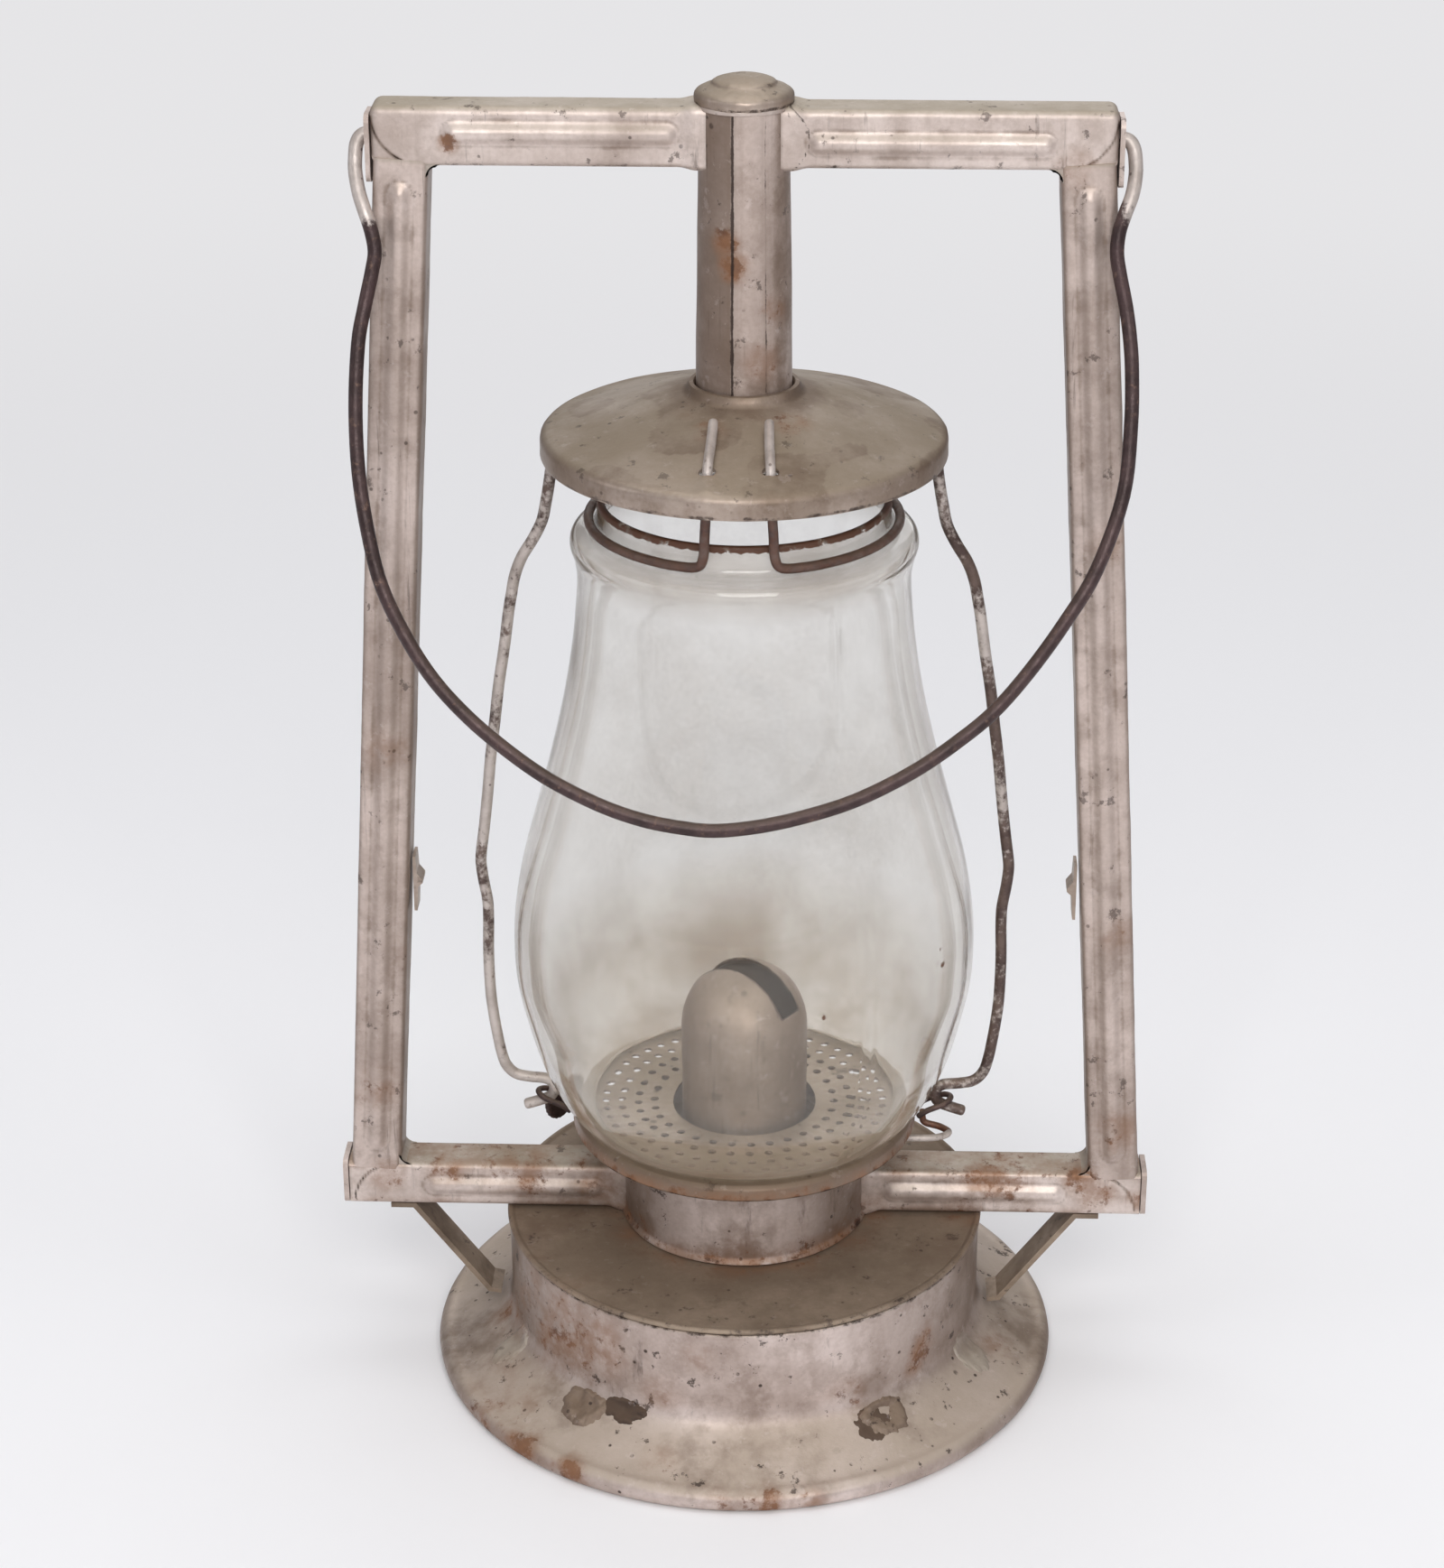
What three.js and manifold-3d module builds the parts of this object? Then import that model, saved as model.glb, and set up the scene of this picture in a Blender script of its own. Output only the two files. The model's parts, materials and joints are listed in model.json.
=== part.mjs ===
// Barn lantern: a square-tube hot-blast kerosene lantern with a lifting globe cage.
// Millimetres, +Z up, origin on the resting plane under the centre of the base.
// The frame stands in the XZ plane; -Y is the front.
import * as THREE from 'three';
import { mergeVertices } from 'three/addons/utils/BufferGeometryUtils.js';
import Module from 'manifold-3d';

const wasm = await Module();
wasm.setup();

// ---------------------------------------------------------------- driving dimensions
const GAP = 0.3;              // clearance between touching pieces
const BASE_R = 85.5;          // outer radius of the rolled base rim
const FOUNT_R = 65;           // fount wall radius
const FOUNT_TOP = 42;         // top face of the fount
const COLLAR_R = 33.2;        // air chamber above the fount
const COLLAR_TOP = 73.2;
const TUBE_DEPTH = 12.7;      // all square tubes, front to back
const TUBE_WALL = 0.8;
const LOW_TUBE_H = 13.0;      // bottom tubes
const SIDE_TUBE_W = 13.5;     // side tubes
const TOP_TUBE_Z = 335;       // underside of the top tubes
const TOP_TUBE_H = 14.6;
const HALF_W_BOTTOM = 108.5;  // outer half width of the frame at the bottom
const HALF_W_TOP = 89.0;      // and at the top
const TOP_TUBE_END = 90.2;    // outer end of the top tubes, closed by the bail ears
const CENTRE_TUBE_R_TOP = 11.4;
const CENTRE_TUBE_R_BOTTOM = 12.3;
const CENTRE_TUBE_Z = 266;
const CAP_R = 12.3;
const CANOPY_R = 51.3;
const CANOPY_RIM_Z = 265.6;
const CANOPY_LIP = 4.4;
const CANOPY_HOLE_R = 12.8;
const RING_R = 39.5;
const RING_Z = 244;
const RING_WIRE_R = 1.25;
const GUARD_WIRE_R = 1.5;
const BAIL_WIRE_R = 1.75;
const PIVOT_Z = 341.6;        // bail pivot height
const BAIL_TILT = 20.2;       // degrees forward of straight down
const PLATE_R = 46.7;         // globe plate
const CONE_R = 18;            // burner cone
const CONE_CENTRE_Z = 98;
const WICK_TURN = -33;        // wick slot direction about +Z, degrees from +X
const SHAFT_Z = 57.4;
const SHAFT_OFFSET = -5.2;

// ---------------------------------------------------------------- helpers
const V2 = (x, y) => new THREE.Vector2(x, y);
const V3 = (x, y, z) => new THREE.Vector3(x, y, z);

function tidy(geometry) {
  geometry.deleteAttribute('normal');
  geometry.deleteAttribute('uv');
  const merged = mergeVertices(geometry, 1e-3);
  const index = merged.index.array;
  const pos = merged.attributes.position;
  const keep = [];
  let volume = 0;
  const a = V3(0, 0, 0), b = V3(0, 0, 0), c = V3(0, 0, 0);
  for (let i = 0; i < index.length; i += 3) {
    const [p, q, r] = [index[i], index[i + 1], index[i + 2]];
    if (p === q || q === r || r === p) continue;
    keep.push(p, q, r);
    a.fromBufferAttribute(pos, p); b.fromBufferAttribute(pos, q); c.fromBufferAttribute(pos, r);
    volume += a.dot(b.cross(c));
  }
  if (volume < 0) for (let i = 0; i < keep.length; i += 3) [keep[i], keep[i + 1]] = [keep[i + 1], keep[i]];
  merged.setIndex(keep);
  return merged;
}

// closed profile of [radius, height] turned about Z
function lathe(profile, segments = 48) {
  const pts = profile.map(([r, z]) => V2(r, z));
  const onAxis = profile[0][0] < 1e-6 && profile[profile.length - 1][0] < 1e-6;
  if (!onAxis) pts.push(pts[0].clone());
  const g = new THREE.LatheGeometry(pts, segments);
  g.rotateX(Math.PI / 2);
  return tidy(g);
}

// curve stepped from one control point to the next, so bends keep their own finer steps
class SteppedCurve extends THREE.Curve {
  constructor(curve) { super(); this.curve = curve; }
  getPoint(t, target) { return this.curve.getPoint(t, target); }
  getPointAt(u, target) { return this.curve.getPoint(u, target); }
  getTangentAt(u, target) { return this.curve.getTangent(u, target); }
}

// round wire through points, with a whole number of steps between neighbouring points
function wire(points, radius, perPoint, sides = 6) {
  const curve = new SteppedCurve(new THREE.CatmullRomCurve3(points.map(p => V3(...p)), false, 'centripetal'));
  const steps = perPoint * (points.length - 1);
  const ring = [];
  for (let i = 0; i < sides; i++) {
    const t = (i / sides) * Math.PI * 2;
    ring.push(V2(radius * Math.cos(t), radius * Math.sin(t)));
  }
  return tidy(new THREE.ExtrudeGeometry(new THREE.Shape(ring), { steps, extrudePath: curve, bevelEnabled: false }));
}

function roundedRect(w, h, r, n = 2) {
  const pts = [];
  const corners = [[w / 2 - r, h / 2 - r, 0], [-w / 2 + r, h / 2 - r, 90], [-w / 2 + r, -h / 2 + r, 180], [w / 2 - r, -h / 2 + r, 270]];
  for (const [cx, cy, start] of corners) for (let i = 0; i <= n; i++) {
    const t = THREE.MathUtils.degToRad(start + (90 * i) / n);
    pts.push(V2(cx + r * Math.cos(t), cy + r * Math.sin(t)));
  }
  return pts;
}

function prism(outline, depth, hole) {
  const shape = new THREE.Shape(outline);
  if (hole) shape.holes.push(new THREE.Path(hole));
  return new THREE.ExtrudeGeometry(shape, { depth, bevelEnabled: false });
}

const toSolid = g => {
  const t = g.index ? g : tidy(g);
  return new wasm.Manifold(new wasm.Mesh({ numProp: 3, vertProperties: new Float32Array(t.attributes.position.array), triVerts: new Uint32Array(t.index.array) }));
};
const toGeometry = m => {
  const mesh = m.getMesh();
  const g = new THREE.BufferGeometry();
  g.setAttribute('position', new THREE.BufferAttribute(new Float32Array(mesh.vertProperties), 3));
  g.setIndex(Array.from(mesh.triVerts));
  return g;
};
function cut(geometry, ...tools) {
  let s = toSolid(geometry);
  for (const t of tools) s = s.subtract(toSolid(tidy(t)));
  return toGeometry(s);
}
const boxAt = (sx, sy, sz, x, y, z) => new THREE.BoxGeometry(sx, sy, sz).translate(x, y, z);
const rodAt = (r, length, x, y, z, axis = 'z', seg = 16) => {
  const g = new THREE.CylinderGeometry(r, r, length, seg);
  if (axis === 'z') g.rotateX(Math.PI / 2);
  if (axis === 'x') g.rotateZ(Math.PI / 2);
  return g.translate(x, y, z);
};

// ---------------------------------------------------------------- materials
const mat = (color, roughness, metalness, extra = {}) => new THREE.MeshStandardMaterial({ color, roughness, metalness, ...extra });
const paint = () => mat(0xb9b0aa, 0.6, 0.45);
const dustyPaint = () => mat(0x9b8f80, 0.7, 0.35);
const bareWire = () => mat(0x4b383a, 0.65, 0.6);
const paintedWire = () => mat(0x9a8f8b, 0.6, 0.5);
const brass = () => mat(0x8a7a58, 0.55, 0.7);
const clearGlass = () => mat(0xdfe3dd, 0.08, 0, { transparent: true, opacity: 0.3 });
const cotton = () => mat(0x4a4238, 0.95, 0);

const lantern = new THREE.Group();
const frame = new THREE.Group();
const cage = new THREE.Group();
lantern.add(frame, cage);
function add(group, name, geometry, material) {
  const mesh = new THREE.Mesh(geometry, material);
  mesh.name = name;
  group.add(mesh);
  return mesh;
}

// ---------------------------------------------------------------- fount and base
add(frame, 'fount_body', lathe([
  [65, 40.7], [65, 15], [66.3, 13.2], [69, 11.2], [73, 9.1], [77.5, 7.1], [81.2, 5.6], [83.2, 5.5], [84.9, 4.4],
  [85.5, 2.7], [85.1, 1.0], [84.3, 0], [82.1, 0], [81.0, 1.2], [80.7, 3.0], [77.1, 6.1], [72.6, 8.0], [68.4, 10.2],
  [65.3, 12.4], [64, 14.6], [64, 40.7]], 36), paint());
add(frame, 'fount_bottom', lathe([[0, 15.8], [58, 15.8], [62.6, 18.2], [63.6, 18.2], [63.6, 17.2], [58.6, 14.8], [0, 14.8]], 30), dustyPaint());
add(frame, 'fount_top', cut(
  lathe([[14.2, 41], [64.4, 41], [65.2, 41.4], [65.4, 42.0], [65.0, 42.7], [64.2, 42.7], [63.4, 42.0], [14.2, 42.0]], 36),
  rodAt(8.4, 6, 0, 50, 42)), dustyPaint());
add(frame, 'filler_neck', (() => {
  const g = lathe([[6.7, 38], [8.0, 38], [8.0, 42.4], [11, 42.4], [11, 43.2], [8.0, 43.4], [8.0, 49.6], [6.7, 49.6]], 18);
  return g.translate(0, 50, 0);
})(), brass());
add(frame, 'filler_gasket', lathe([[0, 50.0], [8.4, 50.0], [8.4, 51.2], [0, 51.2]], 18).translate(0, 50, 0), mat(0x5a4632, 0.9, 0));
add(frame, 'filler_cap', lathe([[0, 51.6], [8.9, 51.6], [8.9, 44.4], [10.4, 44.4], [10.4, 51.4], [9.4, 52.8], [6, 53.4], [0, 53.6]], 18).translate(0, 50, 0), brass());

// ---------------------------------------------------------------- air chamber and burner
const wickDir = V3(-Math.cos(THREE.MathUtils.degToRad(WICK_TURN)), -Math.sin(THREE.MathUtils.degToRad(WICK_TURN)), 0); // towards the rear left
const wickSide = V3(-wickDir.y, wickDir.x, 0).multiplyScalar(-1); // across the wick, towards the rear right
const wickAngle = Math.atan2(wickDir.y, wickDir.x);
function alongShaft(g, s, side, z) { // part built along +X, placed on the wick direction
  return g.rotateZ(wickAngle).translate(wickDir.x * s + wickSide.x * side, wickDir.y * s + wickSide.y * side, z);
}
add(frame, 'burner_collar', cut(
  lathe([[32.4, 42.4], [33.6, 42.4], [33.6, 43.4], [33.2, 43.8], [33.2, 72.4], [33.5, COLLAR_TOP], [32.4, COLLAR_TOP]], 28),
  boxAt(6, 11.4, 11.6, 33, 0, 49.1), boxAt(6, 11.4, 11.6, -33, 0, 49.1),
  alongShaft(rodAt(1.9, 8, 0, 0, 0, 'x'), 32.6, SHAFT_OFFSET, SHAFT_Z)), dustyPaint());
add(frame, 'burner_deck', lathe([[12.5, 64], [32.0, 64], [32.0, 65], [12.5, 65]], 24), dustyPaint());
const wickSlot = (w, t, h) => boxAt(w, t, h, 0, 0, 0).rotateZ(wickAngle);
add(frame, 'burner_base', cut(
  lathe([[0, 45.4], [12, 45.4], [12, 36.4], [13.8, 36.4], [13.8, 42.4], [17.2, 42.4], [17.2, 43.6], [14.6, 44.2], [13.8, 47.2], [0, 47.2]], 20),
  wickSlot(18.2, 5.4, 20).translate(0, 0, 46)), brass());
const tubeOuter = roundedRect(17.4, 4.6, 1.8, 3), tubeInner = roundedRect(16.2, 3.4, 1.2, 3);
add(frame, 'wick_tube', cut(
  tidy(prism(tubeOuter, 71, tubeInner).rotateZ(wickAngle).translate(0, 0, 32)),
  alongShaft(boxAt(3.2, 3, 8, 0, 0, 0), -4, -2.6, SHAFT_Z), alongShaft(boxAt(3.2, 3, 8, 0, 0, 0), 4, -2.6, SHAFT_Z)), brass());
add(frame, 'wick', tidy(prism(roundedRect(14.6, 1.9, 0.9, 2), 74, null).rotateZ(wickAngle).translate(0, 0, 30)), cotton());
function wheel(s) { return tidy(alongShaft(rodAt(3.95, 2.0, 0, 0, 0, 'x', 14), s, SHAFT_OFFSET, SHAFT_Z)); }
add(frame, 'wick_wheel_left', cut(wheel(4), alongShaft(rodAt(1.7, 6, 0, 0, 0, 'x', 12), 4, SHAFT_OFFSET, SHAFT_Z)), brass());
add(frame, 'wick_wheel_right', cut(wheel(-4), alongShaft(rodAt(1.7, 6, 0, 0, 0, 'x', 12), -4, SHAFT_OFFSET, SHAFT_Z)), brass());
add(frame, 'wick_shaft', tidy(alongShaft(rodAt(1.4, 64.5, 0, 0, 0, 'x', 12), 26.25, SHAFT_OFFSET, SHAFT_Z)), bareWire());
add(frame, 'wick_knob', tidy(alongShaft(lathe([[0, -1.1], [5.4, -1.1], [6.0, -0.6], [6.0, 0.6], [5.4, 1.1], [0, 1.1]], 20).rotateY(Math.PI / 2), 60.0, SHAFT_OFFSET, SHAFT_Z)), bareWire());
const cap = [];
for (let i = 0; i <= 6; i++) { const t = THREE.MathUtils.degToRad(90 - 15 * i); cap.push([CONE_R * Math.cos(t), CONE_CENTRE_Z + CONE_R * Math.sin(t)]); }
const inner = [];
for (let i = 6; i >= 0; i--) { const t = THREE.MathUtils.degToRad(90 - 15 * i); inner.push([(CONE_R - 0.6) * Math.cos(t), CONE_CENTRE_Z + (CONE_R - 0.6) * Math.sin(t)]); }
add(frame, 'burner_cone', cut(
  lathe([[0, CONE_CENTRE_Z + CONE_R], ...cap.slice(1), [CONE_R, 67], [18.6, 66.0], [23, 65.9], [23, 65.3], [17.4, 65.3], ...inner.slice(0, -1), [0, CONE_CENTRE_Z + CONE_R - 0.6]], 24),
  wickSlot(60, 6, 20).translate(0, 0, 104.8 + 10)), brass());

// ---------------------------------------------------------------- square tubes of the frame
for (const [side, s] of [['left', -1], ['right', 1]]) {
  const lowLength = HALF_W_BOTTOM - COLLAR_R - GAP - 0.4;
  const low = prism(roundedRect(LOW_TUBE_H, TUBE_DEPTH, 1.6), lowLength, roundedRect(LOW_TUBE_H - 2 * TUBE_WALL, TUBE_DEPTH - 2 * TUBE_WALL, 0.9));
  low.rotateY(Math.PI / 2).translate(COLLAR_R + GAP + 0.4, 0, FOUNT_TOP + 0.9 + LOW_TUBE_H / 2);
  if (s < 0) low.rotateZ(Math.PI);
  add(frame, `lower_tube_${side}`, cut(tidy(low), boxAt(10.5, 10.5, 5, s * 101.6, 0, FOUNT_TOP + LOW_TUBE_H + 0.5)), paint());
  const z0 = FOUNT_TOP + LOW_TUBE_H + 0.9 + GAP, z1 = TOP_TUBE_Z - GAP;
  const sideTube = prism(roundedRect(SIDE_TUBE_W, TUBE_DEPTH, 1.8), z1 - z0, roundedRect(SIDE_TUBE_W - 2 * TUBE_WALL, TUBE_DEPTH - 2 * TUBE_WALL, 1.1));
  sideTube.translate(0, 0, z0);
  const slope = (HALF_W_BOTTOM - HALF_W_TOP) / (TOP_TUBE_Z + TOP_TUBE_H - FOUNT_TOP);
  const p = sideTube.attributes.position;
  for (let i = 0; i < p.count; i++) p.setX(i, p.getX(i) + s * (HALF_W_BOTTOM - SIDE_TUBE_W / 2 - slope * (p.getZ(i) - FOUNT_TOP)));
  add(frame, `side_tube_${side}`, tidy(sideTube), paint());
  const topStart = CENTRE_TUBE_R_TOP + 0.3 + GAP;
  const top = prism(roundedRect(TOP_TUBE_H, TUBE_DEPTH, 1.8), TOP_TUBE_END - topStart, roundedRect(TOP_TUBE_H - 2 * TUBE_WALL, TUBE_DEPTH - 2 * TUBE_WALL, 1.1));
  top.rotateY(Math.PI / 2).translate(topStart, 0, TOP_TUBE_Z + TOP_TUBE_H / 2);
  if (s < 0) top.rotateZ(Math.PI);
  add(frame, `upper_tube_${side}`, cut(tidy(top), boxAt(10.5, 10.5, 4, s * 83.2, 0, TOP_TUBE_Z)), paint());
  // bail ear: strap soldered over the open end of the top tube, with the pivot hole
  add(frame, `bail_ear_${side}`, cut(
    tidy(prism(roundedRect(10.6, 17, 2, 3), 1.2, null).rotateX(Math.PI / 2).rotateZ(Math.PI / 2).translate(TOP_TUBE_END + GAP, 0, 338.9)),
    rodAt(2.1, 8, TOP_TUBE_END + 1, 0, PIVOT_Z, 'x')), paint());
  if (s < 0) frame.children[frame.children.length - 1].rotation.z = Math.PI;
  // end plate of the bottom tube
  const plate = add(frame, `tube_end_plate_${side}`, tidy(prism(roundedRect(11.8, 13.6, 2, 3), 1.4, null).rotateX(Math.PI / 2).rotateZ(Math.PI / 2).translate(HALF_W_BOTTOM + GAP, 0, 49.4)), paint());
  if (s < 0) plate.rotation.z = Math.PI;
  // brace: bent flat strap from the bottom tube down to the flare of the base
  const brace = new THREE.Shape([V2(97.5, 42.5), V2(90.6, 42.5), V2(70.4, 15.6), V2(67.6, 15.0), V2(67.8, 13.8), V2(71.2, 14.3), V2(91.4, 41.1), V2(97.5, 41.1)]);
  const braceMesh = add(frame, `brace_${side}`, tidy(new THREE.ExtrudeGeometry(brace, { depth: 10, bevelEnabled: false }).rotateX(Math.PI / 2).translate(0, 5, 0)), dustyPaint());
  if (s < 0) braceMesh.rotation.z = Math.PI;
  // remains of a soldered guide on the inner face of the side tube
  const clipX = HALF_W_BOTTOM - SIDE_TUBE_W - slope * (140 - FOUNT_TOP);
  const clip = new THREE.Shape([V2(-0.5, -8), V2(-0.5, 8), V2(-1.3, 8), V2(-1.5, 3), V2(-3.0, 1), V2(-3.0, 0.2), V2(-1.7, -1), V2(-1.3, -8)]);
  const clipMesh = add(frame, `guide_clip_${side}`, tidy(new THREE.ExtrudeGeometry(clip, { depth: 6, bevelEnabled: false }).rotateX(Math.PI / 2).translate(clipX - 0.5, 3, 140)), paint());
  if (s < 0) clipMesh.rotation.z = Math.PI;
  // torn foot of a soldered loop where the wall meets the flare
  const arc = [];
  for (let i = 0; i <= 6; i++) { const t = THREE.MathUtils.degToRad(-7 + (14 * i) / 6); arc.push(V2(65.5 * Math.cos(t), 65.5 * Math.sin(t))); }
  for (let i = 6; i >= 0; i--) { const t = THREE.MathUtils.degToRad(-7 + (14 * i) / 6); const r = 66.6 + 1.6 * Math.cos(((i - 3) / 3) * Math.PI / 2); arc.push(V2(r * Math.cos(t), r * Math.sin(t))); }
  add(frame, `loop_foot_${side}`, tidy(prism(arc, 4.6, null).rotateZ(THREE.MathUtils.degToRad(-90 + s * 35)).translate(0, 0, 14.6)), mat(0x6d645c, 0.6, 0.5));
}

// ---------------------------------------------------------------- centre tube and its cap
add(frame, 'centre_tube', cut(
  lathe([[CENTRE_TUBE_R_BOTTOM - 0.7, CENTRE_TUBE_Z], [CENTRE_TUBE_R_BOTTOM, CENTRE_TUBE_Z], [CENTRE_TUBE_R_TOP, 335], [CENTRE_TUBE_R_TOP, 351], [CENTRE_TUBE_R_TOP - 0.7, 351], [CENTRE_TUBE_R_TOP - 0.7, 335]], 24),
  boxAt(30, 10.6, 12.8, 0, 0, 342.3)), paint());
add(frame, 'centre_tube_cap', lathe([[0, 356.9], [4, 356.6], [7.6, 355.4], [8.4, 354.6], [11.6, 353.2], [12.3, 352.4], [12.2, 350.4], [11.7, 350.0], [11.7, 351.4], [11.4, 352.2], [8.0, 353.8], [0, 355.6]], 20), dustyPaint());

// ---------------------------------------------------------------- lifting cage: canopy, ring, guards, globe, plate
const coneDrop = (r) => 277.6 - (r - 14.3) * (277.6 - 266.9) / (51.0 - 14.3);
const strutHoles = [];
for (const y of [-1, 1]) for (const x of [-7.6, 7.6]) strutHoles.push(rodAt(2.3, 16, x, y * 40.4, 268, 'z', 12));
add(cage, 'canopy', cut(lathe([
  [CANOPY_HOLE_R, 279.4], [13.9, 279.6], [14.4, 277.6], [32, coneDrop(32)], [50.8, 267.0], [CANOPY_R, CANOPY_RIM_Z], [CANOPY_R, CANOPY_RIM_Z - CANOPY_LIP],
  [50.4, CANOPY_RIM_Z - CANOPY_LIP], [50.3, 265.5], [32, coneDrop(32) - 0.95], [14.2, 276.5], [CANOPY_HOLE_R, 276.7]], 36), ...strutHoles), dustyPaint());
const onCanopy = r => coneDrop(r) + RING_WIRE_R + 0.55;
const frontRing = [];
const stapleEnd = (s, y) => [
  [s * 6.8, y * 23, onCanopy(23)], [s * 7.0, y * 30, onCanopy(30.8)], [s * 7.4, y * 38, onCanopy(38.7)], [s * 7.55, y * 40.1, onCanopy(41) - 0.9],
  [s * 7.6, y * 40.8, onCanopy(42) - 3.0]];
const down = (s, y) => [[s * 7.8, y * 40.7, 262], [s * 8.3, y * 40.2, 254], [s * 8.7, y * 39.6, 247.5]];
frontRing.push(...stapleEnd(1, -1), ...down(1, -1), [10.4, -38.6, 244.6]);
for (let i = 0; i <= 20; i++) {
  const t = THREE.MathUtils.degToRad(-90 + 24 + (312 * i) / 20);
  frontRing.push([RING_R * Math.cos(t), RING_R * Math.sin(t), RING_Z]);
}
frontRing.push([-10.4, -38.6, 244.6], ...down(-1, -1).reverse(), ...stapleEnd(-1, -1).reverse());
add(cage, 'globe_ring', wire(frontRing, RING_WIRE_R, 2), bareWire());
add(cage, 'ring_hanger_rear', wire([
  ...stapleEnd(1, 1), [7.8, 40.7, 260], [7.6, 40.6, 252], [6.4, 40.5, 248.2], [3.5, 40.5, 247.0], [-3.5, 40.5, 247.0], [-6.4, 40.5, 248.2], [-7.6, 40.6, 252], [-7.8, 40.7, 260],
  ...stapleEnd(-1, 1).reverse()], RING_WIRE_R, 2), bareWire());
const guard = [[48.5, 264.9], [48.6, 258], [49.4, 252], [50.3, 247], [51.4, 242], [53.8, 237], [56.8, 232], [58.7, 227], [59.7, 222], [60.6, 217], [62, 207],
  [63.7, 196.7], [65, 186.6], [66.4, 176.2], [67.5, 165.8], [68.8, 155], [69.7, 148.5], [69.9, 145], [69.4, 140], [68.5, 134], [68.4, 128.5], [68.7, 118],
  [68.5, 107], [67.9, 100], [67.1, 94], [66.2, 88.5], [64.9, 84], [62.3, 81.2], [58.5, 80.3], [54.5, 79.9], [52.5, 78.7], [51.9, 76.6], [53.0, 74.4], [56, 73.0], [60.2, 71.6]];
add(cage, 'guard_wire_right', wire(guard.map(([x, z]) => [x, 0, z]), GUARD_WIRE_R, 1), paintedWire());
add(cage, 'guard_wire_left', wire(guard.map(([x, z]) => [-x, 0, z]), GUARD_WIRE_R, 1), paintedWire());
const globeOuter = [[42.2, 75.0], [46.0, 76.4], [49.3, 80], [54.4, 90], [58.6, 104], [61.2, 122], [60.6, 135], [56.7, 155],
  [50.6, 178], [46.0, 199], [43.3, 219], [42.8, 230], [44.4, 237.6], [43.4, 240.4], [38.0, 242.6], [37.3, 249]];
const globeInner = globeOuter.slice(2, -4).filter((_, i) => i % 2 === 0).map(([r, z]) => [r - 2, z]);
add(cage, 'globe', lathe([...globeOuter, [35.4, 249], [35.5, 242.4], [41.2, 238], ...globeInner.reverse(), [41.0, 76.2]], 28), clearGlass());
add(cage, 'globe_plate', lathe([[19.4, 73.7], [41, 73.7], [45.4, 73.5], [46.2, 72.4], [46.7, 69.5], [45.9, 69.5], [45.5, 72.0], [44.8, 72.8], [41, 72.9], [19.4, 72.9]].map(([r, z]) => [r, z + 0.9]), 32), dustyPaint());
for (const [side, s] of [['left', -1], ['right', 1]]) {
  add(cage, `plate_loop_${side}`, wire([[47.2, 3.2, 71.4], [50, 3.2, 73.4], [54.4, 2.7, 75.2], [56.3, 0, 75.9], [54.4, -2.7, 75.2], [50, -3.2, 73.4], [47.2, -3.2, 71.4]].map(([x, y, z]) => [s * x, y, z]), 0.8, 2), bareWire());
}
add(cage, 'latch_loop', wire([[40, -8.6, 68.1], [46, -8.2, 67.7], [52.5, -7.2, 67.4], [55.8, -4.4, 67.3], [53.6, -1.5, 67.4], [49.6, -0.7, 68.2], [48.7, -0.5, 69.8], [48.8, -0.5, 72.2]], 0.95, 2), bareWire());

// ---------------------------------------------------------------- bail
// points are [x, distance from the pivot line, extra offset away from the frame]
const bailPts = [[-84.5, 0], [-89, 0], [-91.6, 0], [-93.2, 0.7], [-94.2, 2.6], [-94.5, 5.5], [-94.4, 9.4, 0.4], [-93.4, 14.5, 1.2], [-91.9, 19.0, 1.6], [-90.4, 23.5, 1.4], [-89.5, 28.5, 1.0],
  [-90.2, 33.3, 0.6], [-92.1, 42.1], [-93.6, 50.8], [-94.2, 66], [-93.4, 82], [-91.0, 97], [-87.6, 110], [-81.5, 122.5], [-74.5, 133], [-66, 142], [-57.1, 149.4], [-48.1, 155.7], [-39.2, 160.5],
  [-30.3, 164.3], [-21.5, 166.9], [-12.6, 168.4], [-6.4, 168.9], [0.7, 168.4], [9.5, 166.9], [18.4, 164.6], [27.2, 161.7], [35.9, 157.7], [44.7, 152.7], [53.4, 146.5], [62.1, 139.2],
  [70.7, 129.2], [79.3, 117], [86.8, 104.2], [93.0, 86], [94.6, 69], [94.6, 56], [94.0, 48], [92.9, 40.4], [91.2, 32.5, 0.6], [90.4, 27.5, 1.0], [90.8, 22.6, 1.4], [92.2, 18.0, 1.6], [93.8, 13.6, 1.2],
  [94.6, 9.0, 0.4], [94.6, 5.5], [94.2, 2.6], [93.2, 0.7], [91.6, 0], [89, 0], [84.5, 0]];
const tilt = THREE.MathUtils.degToRad(BAIL_TILT);
add(lantern, 'bail', wire(bailPts.map(([x, d, n = 0]) => [x, -d * Math.sin(tilt) - n * Math.cos(tilt), PIVOT_Z - d * Math.cos(tilt) + n * Math.sin(tilt)]), BAIL_WIRE_R, 1), bareWire());

export default lantern;
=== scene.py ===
import bpy, json, math
import numpy as np
from mathutils import Vector, Matrix, noise


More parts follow.
